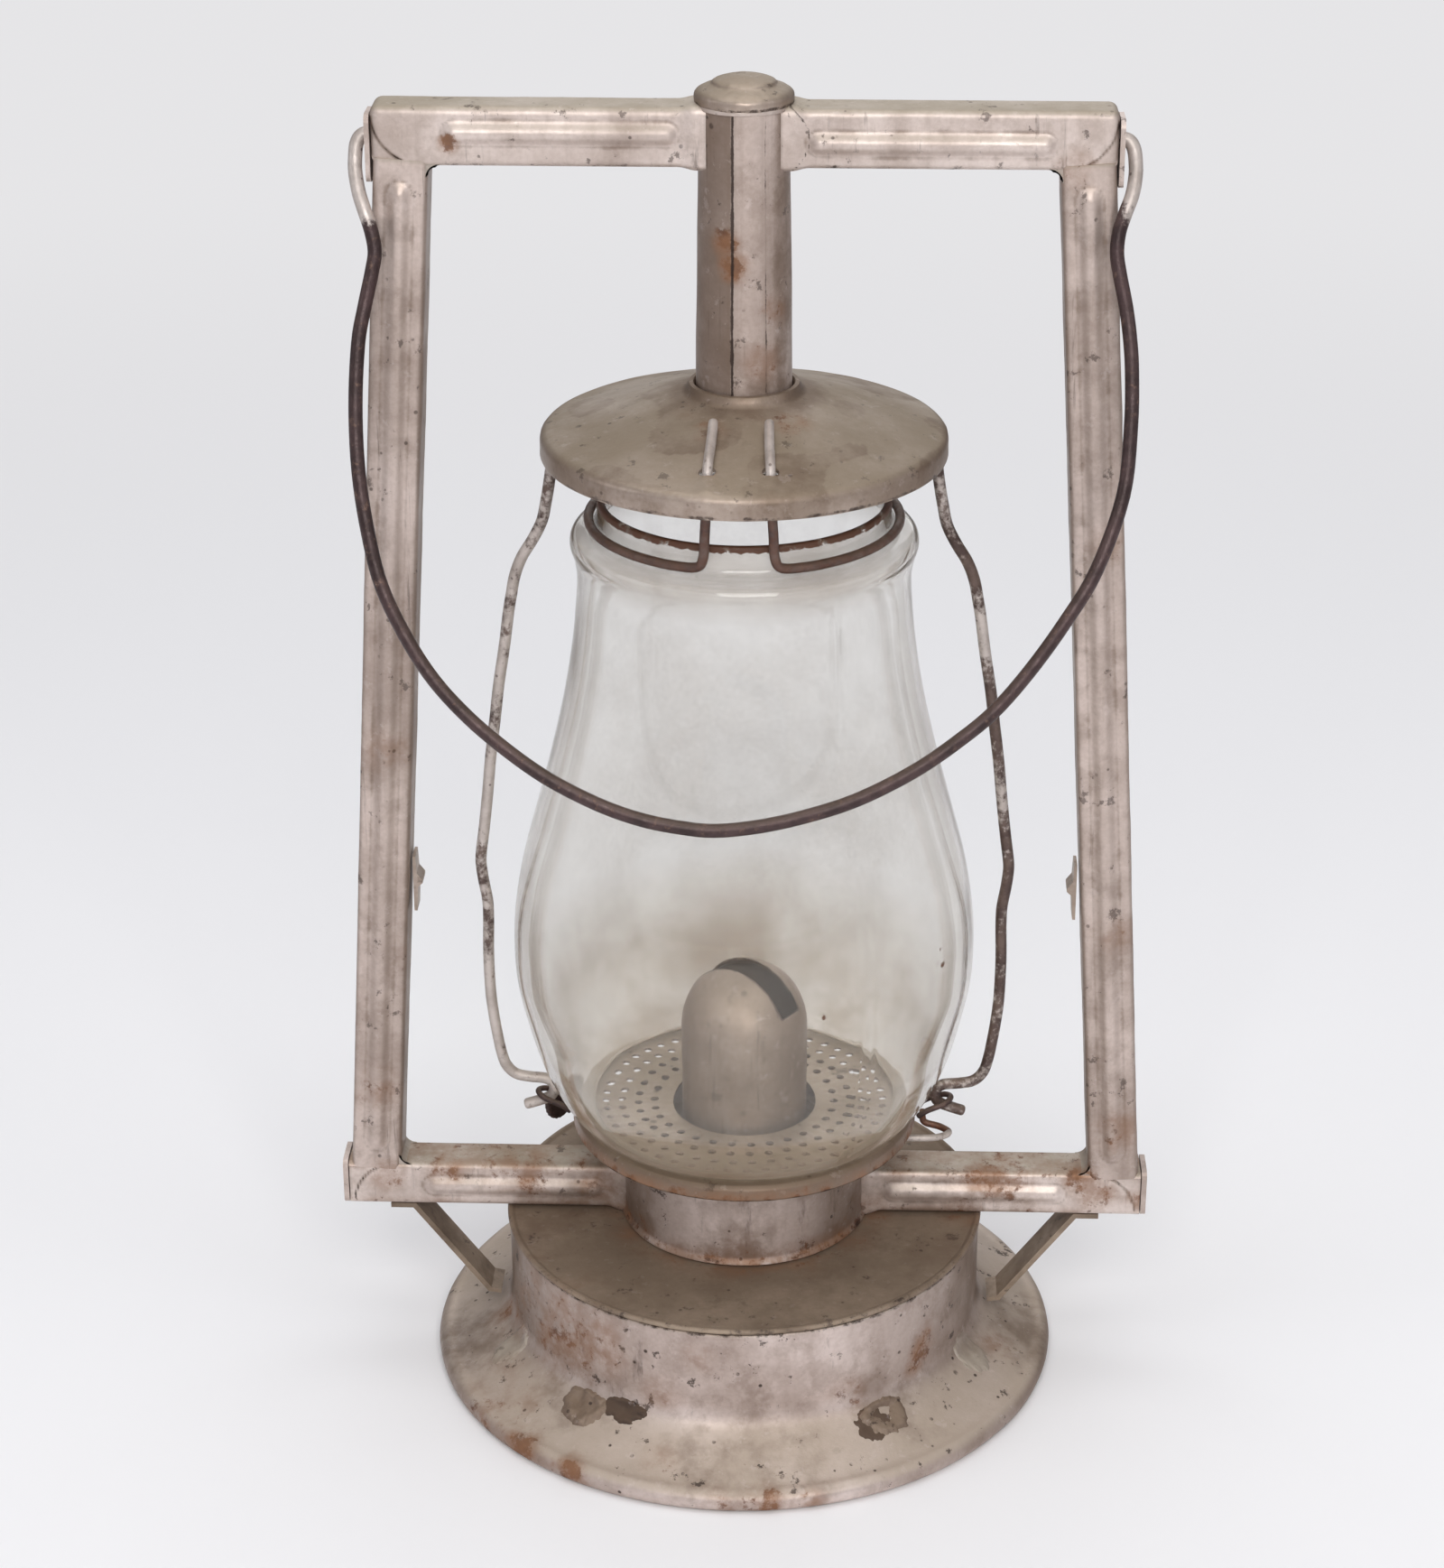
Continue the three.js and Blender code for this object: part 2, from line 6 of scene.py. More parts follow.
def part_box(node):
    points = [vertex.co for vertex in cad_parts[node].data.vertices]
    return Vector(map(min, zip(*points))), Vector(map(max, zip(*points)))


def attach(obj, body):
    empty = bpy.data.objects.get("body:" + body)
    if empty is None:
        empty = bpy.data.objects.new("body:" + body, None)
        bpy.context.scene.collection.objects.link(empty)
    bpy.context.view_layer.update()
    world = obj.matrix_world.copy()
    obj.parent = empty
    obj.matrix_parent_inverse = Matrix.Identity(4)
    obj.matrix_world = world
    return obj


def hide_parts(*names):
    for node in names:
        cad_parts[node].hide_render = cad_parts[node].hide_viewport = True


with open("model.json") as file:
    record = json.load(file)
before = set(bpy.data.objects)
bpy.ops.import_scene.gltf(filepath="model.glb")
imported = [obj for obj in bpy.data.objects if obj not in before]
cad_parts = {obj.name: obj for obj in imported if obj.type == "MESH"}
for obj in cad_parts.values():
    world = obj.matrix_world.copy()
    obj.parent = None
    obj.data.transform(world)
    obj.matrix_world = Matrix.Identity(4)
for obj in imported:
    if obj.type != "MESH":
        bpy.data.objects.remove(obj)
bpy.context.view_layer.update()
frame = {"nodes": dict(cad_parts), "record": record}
NODES = frame["nodes"]
BODY = {n: b for b, ns in frame["record"]["behaviour"]["bodies"].items() for n in ns}
MM = 0.001
COLL = bpy.context.scene.collection


# ------------------------------------------------------------------ small maths
def sstep(a, b, x):
    t = np.clip((x - a) / (b - a), 0, 1)
    return t * t * (3 - 2 * t)


def n3(p, scale, seed=0.0):
    """Smooth noise of a list of points, about -1 to 1."""
    return np.array([noise.noise(Vector((x * scale + seed, y * scale - seed * 0.7, z * scale + seed * 1.3))) for x, y, z in p])


def soften(pts, d=0.8, closed=True):
    """Rounds each corner of a polyline by up to d, staying inside it."""
    out = []
    n = len(pts)
    for i in range(n):
        p = np.array(pts[i], float)
        if not closed and i in (0, n - 1):
            out.append(p)
            continue
        a = np.array(pts[i - 1], float)
        b = np.array(pts[(i + 1) % n], float)
        la, lb = np.linalg.norm(a - p), np.linalg.norm(b - p)
        if la < 1e-6 or lb < 1e-6:
            out.append(p)
            continue
        da, db = min(d, la * 0.36), min(d, lb * 0.36)
        q0 = p + (a - p) / la * da
        q1 = p + (b - p) / lb * db
        out += [q0, 0.25 * q0 + 0.5 * p + 0.25 * q1, q1]
    return out


def catmull(pts, per=6):
    P = [np.array(p, float) for p in pts]
    P = [2 * P[0] - P[1]] + P + [2 * P[-1] - P[-2]]
    out = []
    for i in range(1, len(P) - 2):
        p0, p1, p2, p3 = P[i - 1], P[i], P[i + 1], P[i + 2]
        for k in range(per):
            t = k / per
            out.append(0.5 * ((2 * p1) + (-p0 + p2) * t + (2 * p0 - 5 * p1 + 4 * p2 - p3) * t * t + (-p0 + 3 * p1 - 3 * p2 + p3) * t ** 3))
    out.append(P[-2])
    return out


# ------------------------------------------------------------------ where paint is worn and stained, and where the sides carry painted shade (mm, in the row frame): x, y, z, radius, amount
RUST = [
    (-46, -46, 28, 18, 0.42), (-38, -53, 30, 14, 0.4), (-52, -40, 22, 13, 0.42), (-57, -30, 32, 12, 0.4), (-60, -22, 20, 12, 0.35), (50, -42, 24, 6, 0.7), (47, -45, 20, 5, 0.6),
    (-70, -49, 2, 10, 0.5), (-58, -62, 2, 9, 0.6), (-44, -73, 2, 8, 0.55), (-64, -55, 4, 9, 0.35), (8, -85, 1, 8, 0.6), (20, -83, 1, 6, 0.5), (-4, -84, 1, 6, 0.45), (-66, -40, 8, 16, 0.2), (-58, -50, 8, 10, 0.25), (-20, -74, 8, 7, 0.25),
    (-33, 0, 44, 8, 0.5), (34, -4, 44, 8, 0.45), (-29, -17, 44, 7, 0.45), (28, -18, 43.5, 7, 0.4), (0, -34, 44, 9, 0.3), (15, -30, 44, 8, 0.4),
    (-60, -6, 56, 14, 0.5), (-82, -6, 56, 8, 0.55), (-40, -6, 50, 8, 0.35), (70, -6, 56, 16, 0.5), (92, -6, 54, 7, 0.55), (97, -6, 49, 8, 0.45),
    (-98, -6, 52, 7, 0.4), (-71.2, -7, 341, 3.2, 0.9), (60, -6, 44, 8, 0.4), (80, -4, 336, 7, 0.35), (108, -6, 48, 5, 0.5),
    (-14.5, -16, 281, 7, 0.4), (12, -20, 278, 8, 0.45), (-8, -24, 276, 6, 0.45), (-2.5, -11.8, 312, 5, 0.8), (-4.5, -11, 318, 5, 0.6), (7, -9, 300, 6, 0.4),
    (5, -11, 288, 7, 0.35), (71, -20, 12, 8, 0.4), (-66, -14, 14, 9, 0.35), (-10, -64, 33, 6, 0.35), (28, -58, 18, 8, 0.35), (-20, -61, 20, 8, 0.3),
    (-86, -6, 120, 7, 0.25), (-93, -6, 180, 9, 0.25), (92, -6, 240, 8, 0.25), (98, -6, 130, 9, 0.25), (101, -6, 70, 9, 0.35), (-100, -6, 80, 9, 0.3),
]
# stains together with painted shade: the blobs on the left and right of the fount, flare, collar and centre tube darken
# the sides as they turn from the light
STAIN_AND_SIDE_SHADE = [
    (-62, -20, 30, 30, 0.8), (62, -20, 30, 30, 0.7), (0, -34, 45, 16, 0.45), (-30, -16, 46, 16, 0.7), (30, -16, 46, 16, 0.6), (-80, -20, 6, 34, 0.5),
    (82, -10, 6, 30, 0.5), (0, -14, 277, 16, 0.55), (-14, 0, 300, 8, 0.55), (-12, -4, 330, 9, 0.6), (-12, -4, 290, 11, 0.6), (12, 0, 300, 12, 0.45),
    (-45, -6, 44, 20, 0.5), (70, -6, 44, 22, 0.5), (0, -66, 16, 30, 0.25), (40, -55, 14, 24, 0.35), (-45, -52, 14, 26, 0.4), (0, -78, 8, 40, 0.3),
    (34, -2, 50, 10, 0.6), (-34, -2, 50, 10, 0.6), (0, -33, 72, 20, 0.25), (-92, 0, 56, 12, 0.35), (94, 0, 56, 12, 0.4),
]


def field(co, blobs):
    out = np.zeros(len(co))
    wide, more = (1.35, 0.12) if blobs is RUST else (1.0, 0.0)
    for x, y, z, r, a in blobs:
        r, a = r * wide, a + more
        d = np.sqrt(((co - np.array([x, y, z])) ** 2).sum(1)) / r
        out = np.maximum(out, a * (1 - sstep(0.15, 1.0, d)))
    return out


# ------------------------------------------------------------------ mesh pieces
PIECES = []


def piece(name, verts, faces, mat, body=None, replaces=(), sharp=38, attrs=None, worn=True):
    """verts in mm in the row frame."""
    co = np.array(verts, float)
    me = bpy.data.meshes.new(name)
    me.from_pydata([tuple(v) for v in co * MM], [], [tuple(int(i) for i in f) for f in faces])
    me.validate()
    me.update()
    me.shade_smooth()
    if sharp:
        me.set_sharp_from_angle(angle=math.radians(sharp))
    ob = bpy.data.objects.new(name, me)
    COLL.objects.link(ob)
    me.materials.append(mat)
    marks(ob, attrs, worn)
    nodes = [replaces] if isinstance(replaces, str) else list(replaces)
    if body is None:
        body = BODY[nodes[0]]
    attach(ob, body)
    if nodes:
        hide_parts(*nodes)
    PIECES.append(ob)
    return ob


def marks(ob, attrs=None, worn=True):
    me = ob.data
    n = len(me.vertices)
    co = np.zeros(n * 3)
    me.vertices.foreach_get("co", co)
    co = co.reshape(-1, 3) / MM
    nr = np.zeros(n * 3)
    me.vertices.foreach_get("normal", nr)
    nr = nr.reshape(-1, 3)
    # up: dust, also standing for painted shade on upward faces; side: painted shade on faces turned left or right;
    # under: faces turned down
    data = {"up": sstep(0.25, 0.92, nr[:, 2]), "side": sstep(0.25, 1.0, np.abs(nr[:, 0])), "under": sstep(0.2, 0.9, -nr[:, 2])}
    if worn:
        data["rust"] = field(co, RUST)
        data["stain_and_shade"] = field(co, STAIN_AND_SIDE_SHADE)
    for k, v in (attrs or {}).items():
        data[k] = v(co) if callable(v) else np.asarray(v, float)
    for k, v in data.items():
        if n:
            a = me.attributes.get(k) or me.attributes.new(k, "FLOAT", "POINT")
            a.data.foreach_set("value", np.asarray(v, np.float32))


def lathe_mesh(profile, n=128, closed=True, centre=(0, 0), bumps=None, angles=None):
    """Revolved profile [(r, z)] in mm. bumps(r, z, angle) gives a push along the radius and along z."""
    A = angles if angles is not None else [2 * math.pi * i / n for i in range(n)]
    n = len(A)
    V, F, rows = [], [], []
    for r, z in profile:
        if r < 1e-4:
            V.append((centre[0], centre[1], z))
            rows.append([len(V) - 1])
        else:
            row = []
            for a in A:
                dr, dz = bumps(r, z, a) if bumps else (0, 0)
                row.append(len(V))
                V.append((centre[0] + (r + dr) * math.cos(a), centre[1] + (r + dr) * math.sin(a), z + dz))
            rows.append(row)
    m = len(rows)
    for i in range(m if closed else m - 1):
        a, b = rows[i], rows[(i + 1) % m]
        if len(a) == 1 and len(b) == 1:
            continue
        for k in range(n):
            l = (k + 1) % n
            if len(a) == 1:
                F.append((a[0], b[l], b[k]))
            elif len(b) == 1:
                F.append((a[k], a[l], b[0]))
            else:
                F.append((a[k], a[l], b[l], b[k]))
    return V, F


def outward(V, F):
    """Turns the faces round if the closed mesh is inside out."""
    v = np.array(V)
    vol = 0.0
    for f in F:
        for i in range(1, len(f) - 1):
            vol += np.dot(v[f[0]], np.cross(v[f[i]], v[f[i + 1]]))
    return F if vol > 0 else [tuple(reversed(f)) for f in F]


def sweep_mesh(path, radius, sides=14, per=6, ends="round", smooth=True):
    """Round wire along a smooth path. radius is a number or a function of the share of the length."""
    P = catmull(path, per) if smooth else [np.array(p, float) for p in path]
    keep = [P[0]]
    for p in P[1:]:
        if np.linalg.norm(p - keep[-1]) > 0.25:
            keep.append(p)
    P = keep
    L = [0.0]
    for i in range(1, len(P)):
        L.append(L[-1] + np.linalg.norm(P[i] - P[i - 1]))
    rad = radius if callable(radius) else (lambda t: radius)
    T = []
    for i in range(len(P)):
        a, b = P[max(i - 1, 0)], P[min(i + 1, len(P) - 1)]
        T.append((b - a) / np.linalg.norm(b - a))
    ref = np.array([0, 0, 1.0]) if abs(T[0][2]) < 0.9 else np.array([0, 1.0, 0])
    N = ref - T[0] * np.dot(ref, T[0])
    N /= np.linalg.norm(N)
    rings = []
    r0, r1 = rad(0), rad(1)
    for k in (1.0, 0.82, 0.5):
        rings.append((P[0] - T[0] * r0 * (k - 0.0) * 0.0 + T[0] * r0 * (1 - math.sqrt(max(0, 1 - (1 - k) ** 2))) * 0, T[0], N, 0))
    rings = []
    V, F = [], []

    def ring(p, t, nn, r):
        b = np.cross(t, nn)
        idx = []
        for k in range(sides):
            a = 2 * math.pi * k / sides
            idx.append(len(V))
            V.append(tuple(p + r * (math.cos(a) * nn + math.sin(a) * b)))
        return idx

    frames = []
    for i in range(len(P)):
        if i:
            N = N - T[i] * np.dot(N, T[i])
            N /= np.linalg.norm(N)
        frames.append(N.copy())
    cap = [(0.0, 0.35), (0.12, 0.75), (0.35, 0.94)]
    rows = []
    for d, s in cap:
        rows.append(ring(P[0] + T[0] * r0 * d, T[0], frames[0], r0 * s))
    inner = [i for i in range(len(P)) if L[i] > r0 * 0.45 and L[-1] - L[i] > r1 * 0.45]
    for i in inner:
        rows.append(ring(P[i], T[i], frames[i], rad(L[i] / L[-1])))
    for d, s in reversed(cap):
        rows.append(ring(P[-1] - T[-1] * r1 * d, T[-1], frames[-1], r1 * s))
    for a, b in zip(rows, rows[1:]):
        for k in range(sides):
            l = (k + 1) % sides
            F.append((a[k], a[l], b[l], b[k]))
    F.append(tuple(reversed(rows[0])))
    F.append(tuple(rows[-1]))
    return V, F, P


TUBE = {}


def tube_attrs(edge):
    cr, rm = TUBE["crease"], TUBE["rim"]
    # the stain value set here also adds painted shade along the bead creases and the dark joint of the tab lap line;
    # corners and lap get worn edges
    return {"edge": lambda c: np.maximum(edge(c), rm * 0.3), "stain_and_shade": lambda c: np.maximum(field(c, STAIN_AND_SIDE_SHADE), np.clip(cr, 0, 1.3) * 0.55)}


def box_tube(p0, p1, w, d, rc, beads=(), step=1.1, flare=None, wave=0.14, seed=0.0, tab=None, cap_r=0.0):
    """Pressed square tube from p0 to p1 (x, z), w wide in the plane, d deep in y, with raised beads
    [(start, end, offset, half width, height)] on the front and back faces."""
    p0, p1 = np.array(p0, float), np.array(p1, float)
    L = np.linalg.norm(p1 - p0)
    u = (p1 - p0) / L
    v = np.array([-u[1], u[0]])
    n = int(L / step) + 1
    S = [L * i / n for i in range(n + 1)]
    if cap_r:
        S = [q for q in S if q < L - cap_r] + [L - cap_r + cap_r * math.sin(math.pi / 2 * k / 6) for k in range(7)]
    n = len(S) - 1
    nw = int(w / 0.62)
    sec = []
    hw, hd = w / 2, d / 2
    for k in range(nw + 1):
        sec.append((-hw + rc + (w - 2 * rc) * k / nw, -hd, "f"))
    for k in (1, 2, 3):
        a = k * math.pi / 8
        sec.append((hw - rc + rc * math.sin(a), -hd + rc - rc * math.cos(a), "c"))
    for k in range(7):
        sec.append((hw, -hd + rc + (d - 2 * rc) * k / 6, "s"))
    for k in (1, 2, 3):
        a = k * math.pi / 8
        sec.append((hw - rc + rc * math.cos(a), hd - rc + rc * math.sin(a), "c"))
    for k in range(nw + 1):
        sec.append((hw - rc - (w - 2 * rc) * k / nw, hd, "b"))
    for k in (1, 2, 3):
        a = k * math.pi / 8
        sec.append((-hw + rc - rc * math.sin(a), hd - rc + rc * math.cos(a), "c"))
    for k in range(7):
        sec.append((-hw, hd - rc - (d - 2 * rc) * k / 6, "s"))
    for k in (1, 2, 3):
        a = k * math.pi / 8
        sec.append((-hw + rc - rc * math.cos(a), -hd + rc - rc * math.sin(a), "c"))
    m = len(sec)
    V, F, crease, rim = [], [], [], []
    for i in range(n + 1):
        s = S[i]
        c = p0 + u * s
        g = 0.0
        if flare:
            g = flare(s, L)
        if cap_r and s > L - cap_r:
            g -= cap_r * 0.8 * (1 - math.sqrt(max(0.0, 1 - ((s - L + cap_r) / cap_r) ** 2)))
        for a, b, kind in sec:
            sa = a * (1 + g / hw)
            sb = b * (1 + g / hd)
            q = c + v * sa
            y = sb
            fold = lap = 0.0
            wv = noise.noise(Vector((q[0] * 0.06 + seed, sb * 0.1 + seed, q[1] * 0.06))) * wave
            wv += noise.noise(Vector((q[0] * 0.22 + seed, sb * 0.2, q[1] * 0.22 + seed))) * wave * 0.35
            if kind in ("f", "b"):
                h = 0.0
                for s0, s1, off, half, height in beads:
                    ds = max(s0 + half - s, s - (s1 - half), 0.0)
                    dd = math.hypot(ds, a - off) / half
                    # fold marks the crease round the foot of each bead; it is painted darker later as painted shade
                    fold = max(fold, 1 - min(abs(dd - 1.12) / 0.3, 1))
                    if dd < 1.25:
                        h = max(h, height * (1 - float(sstep(0.12, 1.12, dd))))
                if tab and abs(q[0]) > tab[0] and (q[1] - tab[1]) * tab[4] > 0:
                    e = (math.hypot((abs(q[0]) - tab[0]) / tab[2], (q[1] - tab[1]) / tab[3]) - 1) * tab[2]
                    h -= 0.6 * float(sstep(-0.15, 0.35, e))
                    lap = max(lap, 1 - min(abs(e - 0.15) / 0.75, 1))
                y += (-1 if kind == "f" else 1) * (h + wv)
            elif kind == "s":
                q = q + v * (wv * (1 if a > 0 else -1) - 0.05)
            V.append((q[0], y, q[1]))
            crease.append(max(fold, lap * 1.6))
            rim.append(max(1.0 if kind == "c" else 0.0, lap * 2.4))
    for i in range(n):
        for k in range(m):
            l = (k + 1) % m
            F.append((i * m + k, i * m + l, (i + 1) * m + l, (i + 1) * m + k))
    F.append(tuple(reversed(range(m))))
    F.append(tuple(range(n * m, n * m + m)))
    TUBE["crease"], TUBE["rim"] = np.array(crease), np.array(rim)
    return V, outward(V, F)


def plate_mesh(outline, y0, y1, bevel=0.18):
    """Thin plate in the x-z plane between y0 and y1 with a soft outer edge on the y0 side."""
    n = len(outline)
    o = np.array(outline, float)
    c = o.mean(0)
    area = sum(o[i][0] * o[(i + 1) % n][1] - o[(i + 1) % n][0] * o[i][1] for i in range(n))
    inner = []
    for i in range(n):
        a, p, b = o[i - 1], o[i], o[(i + 1) % n]
        t = (b - a) / max(np.linalg.norm(b - a), 1e-6)
        nrm = np.array([-t[1], t[0]]) * (1 if area > 0 else -1)
        inner.append(p + nrm * bevel)
    deep = [p + (c - p) / max(np.linalg.norm(c - p), 1e-6) * min(1.3, 0.45 * np.linalg.norm(c - p)) for p in o]
    V, F = [], []
    s = 1 if y1 > y0 else -1
    for ring, y in ((o, y1), (o, y0 + s * bevel), (inner, y0), (deep, y0)):
        for p in ring:
            V.append((p[0], y, p[1]))
    for j in range(3):
        for i in range(n):
            k = (i + 1) % n
            F.append((j * n + i, j * n + k, (j + 1) * n + k, (j + 1) * n + i))
    F.append(tuple(range(3 * n, 4 * n)))
    F.append(tuple(reversed(range(n))))
    return V, outward(V, F)


def join(*parts):
    V, F = [], []
    for v, f in parts:
        k = len(V)
        V += list(v)
        F += [tuple(i + k for i in face) for face in f]
    return V, F


def cut(obj_mesh, cutter_mesh):
    """Boolean difference of two closed meshes given as (verts, faces) in mm."""
    obs = []
    for V, F in (obj_mesh, cutter_mesh):
        me = bpy.data.meshes.new("tmp")
        me.from_pydata([tuple(v) for v in V], [], [tuple(f) for f in F])
        me.update()
        ob = bpy.data.objects.new("tmp", me)
        COLL.objects.link(ob)
        obs.append(ob)
    mod = obs[0].modifiers.new("cut", "BOOLEAN")
    mod.operation = "DIFFERENCE"
    mod.solver = "EXACT"
    mod.object = obs[1]
    dg = bpy.context.evaluated_depsgraph_get()
    res = bpy.data.meshes.new_from_object(obs[0].evaluated_get(dg))
    V = [tuple(v.co) for v in res.vertices]
    F = [tuple(p.vertices) for p in res.polygons]
    for ob in obs:
        me = ob.data
        bpy.data.objects.remove(ob)
        bpy.data.meshes.remove(me)
    bpy.data.meshes.remove(res)
    return V, F


# ------------------------------------------------------------------ materials
def srgb(r, g, b):
    f = lambda c: c / 12.92 if c <= 0.04045 else ((c + 0.055) / 1.055) ** 2.4
    return (f(r / 255), f(g / 255), f(b / 255), 1)


class Tree:
    def __init__(self, name):
        self.m = bpy.data.materials.new(name)
        self.m.use_nodes = True
        self.t = self.m.node_tree
        self.t.nodes.clear()
        self.pos = self.add("ShaderNodeTexCoord").outputs["Object"]

    def add(self, kind, ins=None, **props):
        nd = self.t.nodes.new(kind)
        for k, v in props.items():
            setattr(nd, k, v)
        for k, v in (ins or {}).items():
            if isinstance(v, bpy.types.NodeSocket):
                self.t.links.new(v, nd.inputs[k])
            else:
                nd.inputs[k].default_value = v
        return nd

    def scaled(self, x, y, z, off=0.0):
        return self.add("ShaderNodeMapping", {"Vector": self.pos, "Scale": (x, y, z), "Location": (off, off * 0.7, off * 1.3)}).outputs[0]

    def noise(self, scale, detail=3.0, rough=0.55, vec=None, off=0.0):
        return self.add("ShaderNodeTexNoise", {"Vector": vec if vec is not None else self.scaled(1, 1, 1, off), "Scale": scale, "Detail": detail, "Roughness": rough}).outputs[0]

    def attr(self, name):
        return self.add("ShaderNodeAttribute", attribute_name=name).outputs["Fac"]

    def m2(self, op, a, b=0.0, clamp=False):
        return self.add("ShaderNodeMath", {0: a, 1: b}, operation=op, use_clamp=clamp).outputs[0]

    def step(self, x, a, b, lo=0.0, hi=1.0):
        return self.add("ShaderNodeMapRange", {"Value": x, "From Min": a, "From Max": b, "To Min": lo, "To Max": hi}, interpolation_type="SMOOTHSTEP").outputs[0]

    def mix(self, fac, a, b):
        return self.add("ShaderNodeMix", {0: fac, 6: a, 7: b}, data_type="RGBA").outputs[2]

    def mult(self, fac, a, b):
        return self.add("ShaderNodeMix", {0: fac, 6: a, 7: b}, data_type="RGBA", blend_type="MULTIPLY").outputs[2]

    def specks(self, scale, size, share, off=0.0):
        v = self.add("ShaderNodeTexVoronoi", {"Vector": self.scaled(1, 1, 1, off), "Scale": scale, "Randomness": 1.0})
        pick = self.add("ShaderNodeSeparateColor", {0: v.outputs["Color"]})
        a = self.step(v.outputs["Distance"], size, size * 0.55)
        b = self.step(pick.outputs[0], share + 0.02, share)
        return self.m2("MULTIPLY", a, b)

    def bump(self, height, strength, distance=0.0004, normal=None):
        ins = {"Height": height, "Strength": strength, "Distance": distance}
        if normal is not None:
            ins["Normal"] = normal
        return self.add("ShaderNodeBump", ins).outputs[0]

    def out(self, shader):
        self.add("ShaderNodeOutputMaterial", {0: shader})
        return self.m


def paint(name, base, shade, dust_and_painted_light, rust=srgb(96, 58, 38), chip=srgb(58, 44, 38), metallic=0.5, rough=0.46,
          dust_and_shade_amount=0.8, side=0.45, flecks=0.16, streaks=(150, 150, 9), speck=1.0, off=0.0, bump=0.35, stain_and_shade=srgb(112, 92, 76)):
    """Old aluminium paint on tin: grain, runs, dust and painted shade on upward faces, painted shade on sideways faces,
    stains, chips and rust.
    """
    t = Tree(name)
    broad = t.noise(28, 5, 0.6, off=off)
    mid = t.noise(110, 5, 0.62, off=off + 2)
    fine = t.noise(900, 3, 0.6, off=off + 4)
    runs = t.noise(1.0, 4, 0.6, vec=t.scaled(*streaks, off))
    col = t.mix(t.step(broad, 0.36, 0.68, 0, 0.62), base, shade)
    col = t.mix(t.step(mid, 0.46, 0.64, 0, 0.36), col, shade)
    col = t.mix(t.step(runs, 0.5, 0.72, 0, 0.4), col, shade)
    col = t.mix(t.step(t.noise(1.0, 5, 0.7, vec=t.scaled(*[q * 2.6 for q in streaks], off + 3)), 0.6, 0.72, 0, 0.5), col, chip)
    col = t.mult(t.step(fine, 0.35, 0.7, 0, 0.3), col, (0.74, 0.70, 0.66, 1))
    # upward faces: dust, mixed with painted shade for how the light falls on the tops
    up = t.m2("MULTIPLY", t.attr("up"), t.step(broad, 0.2, 0.65, 0.72, 1.0))
    col = t.mix(t.m2("MULTIPLY", up, dust_and_shade_amount), col, dust_and_painted_light)
    # painted shade: faces turned to the left or right are darkened towards the stain colour
    side_shade = t.m2("MULTIPLY", t.attr("side"), side)
    col = t.mix(side_shade, col, stain_and_shade)
    # stains, and painted shade carried by the same attribute: darker sides, bead creases and the shaded sides of the
    # centre tube
    st = t.m2("ADD", t.attr("stain_and_shade"), t.m2("MULTIPLY", t.m2("SUBTRACT", mid, 0.5), 1.3))
    st = t.m2("MULTIPLY", t.step(st, 0.12, 0.85), t.step(t.attr("stain_and_shade"), 0.0, 0.1))
    col = t.mix(t.m2("MULTIPLY", st, 0.72), col, stain_and_shade)
    # dark grime specks and small chips
    sp = t.m2("MAXIMUM", t.specks(120, 0.13, 0.1, off), t.specks(330, 0.22, 0.12, off + 7))
    sp = t.m2("MULTIPLY", t.m2("MULTIPLY", sp, t.step(mid, 0.42, 0.55)), 0.7 * speck)
    col = t.mix(sp, col, chip)
    flake = t.m2("MULTIPLY", t.step(t.noise(150, 6, 0.72, off=off + 9), 0.61, 0.66), 0.62 * speck)
    col = t.mix(flake, col, chip)
    light = t.m2("MULTIPLY", t.step(t.noise(260, 4, 0.7, off=off + 12), 0.6, 0.68), flecks)
    col = t.mix(light, col, srgb(228, 216, 213))
    # rust breaks through where it is marked
    rn = t.noise(240, 6, 0.72, off=off + 20)
    ra = t.attr("rust")
    rf = t.m2("ADD", ra, t.m2("MULTIPLY", t.m2("SUBTRACT", rn, 0.5), 2.3))
    rf = t.m2("MULTIPLY", t.step(rf, 0.52, 0.86), t.step(ra, 0.0, 0.12))
    rcol = t.mix(t.step(mid, 0.35, 0.65), rust, srgb(134, 92, 64))
    col = t.mix(t.m2("MULTIPLY", rf, 0.85), col, rcol)
    halo = t.m2("MULTIPLY", t.m2("MULTIPLY", t.step(ra, 0.05, 0.75), t.step(mid, 0.34, 0.62)), 0.72)
    col = t.mix(halo, col, srgb(146, 106, 78))
    ed = t.m2("ADD", t.attr("edge"), t.m2("MULTIPLY", t.m2("SUBTRACT", rn, 0.5), 1.6))
    ed = t.m2("MULTIPLY", t.step(ed, 0.45, 0.75), t.step(t.attr("edge"), 0.0, 0.1))
    col = t.mix(t.m2("MULTIPLY", ed, 0.9), col, chip)
    rg = t.m2("ADD", t.step(broad, 0.3, 0.7, rough - 0.08, rough + 0.1), t.m2("MULTIPLY", t.m2("MAXIMUM", rf, t.m2("MULTIPLY", up, 0.6)), 0.22))
    h = t.m2("ADD", t.m2("MULTIPLY", fine, 0.35), t.m2("MULTIPLY", mid, 0.9))
    h = t.m2("SUBTRACT", h, t.m2("MULTIPLY", t.m2("MAXIMUM", t.m2("MAXIMUM", flake, sp), ed), 0.45))
    h = t.m2("ADD", h, t.m2("MULTIPLY", rf, t.m2("SUBTRACT", rn, 0.55)))
    nrm = t.bump(h, bump, 0.0005)
    b = t.add("ShaderNodeBsdfPrincipled", {"Base Color": col, "Metallic": metallic, "Roughness": rg, "Normal": nrm})
    return t.out(b.outputs[0])


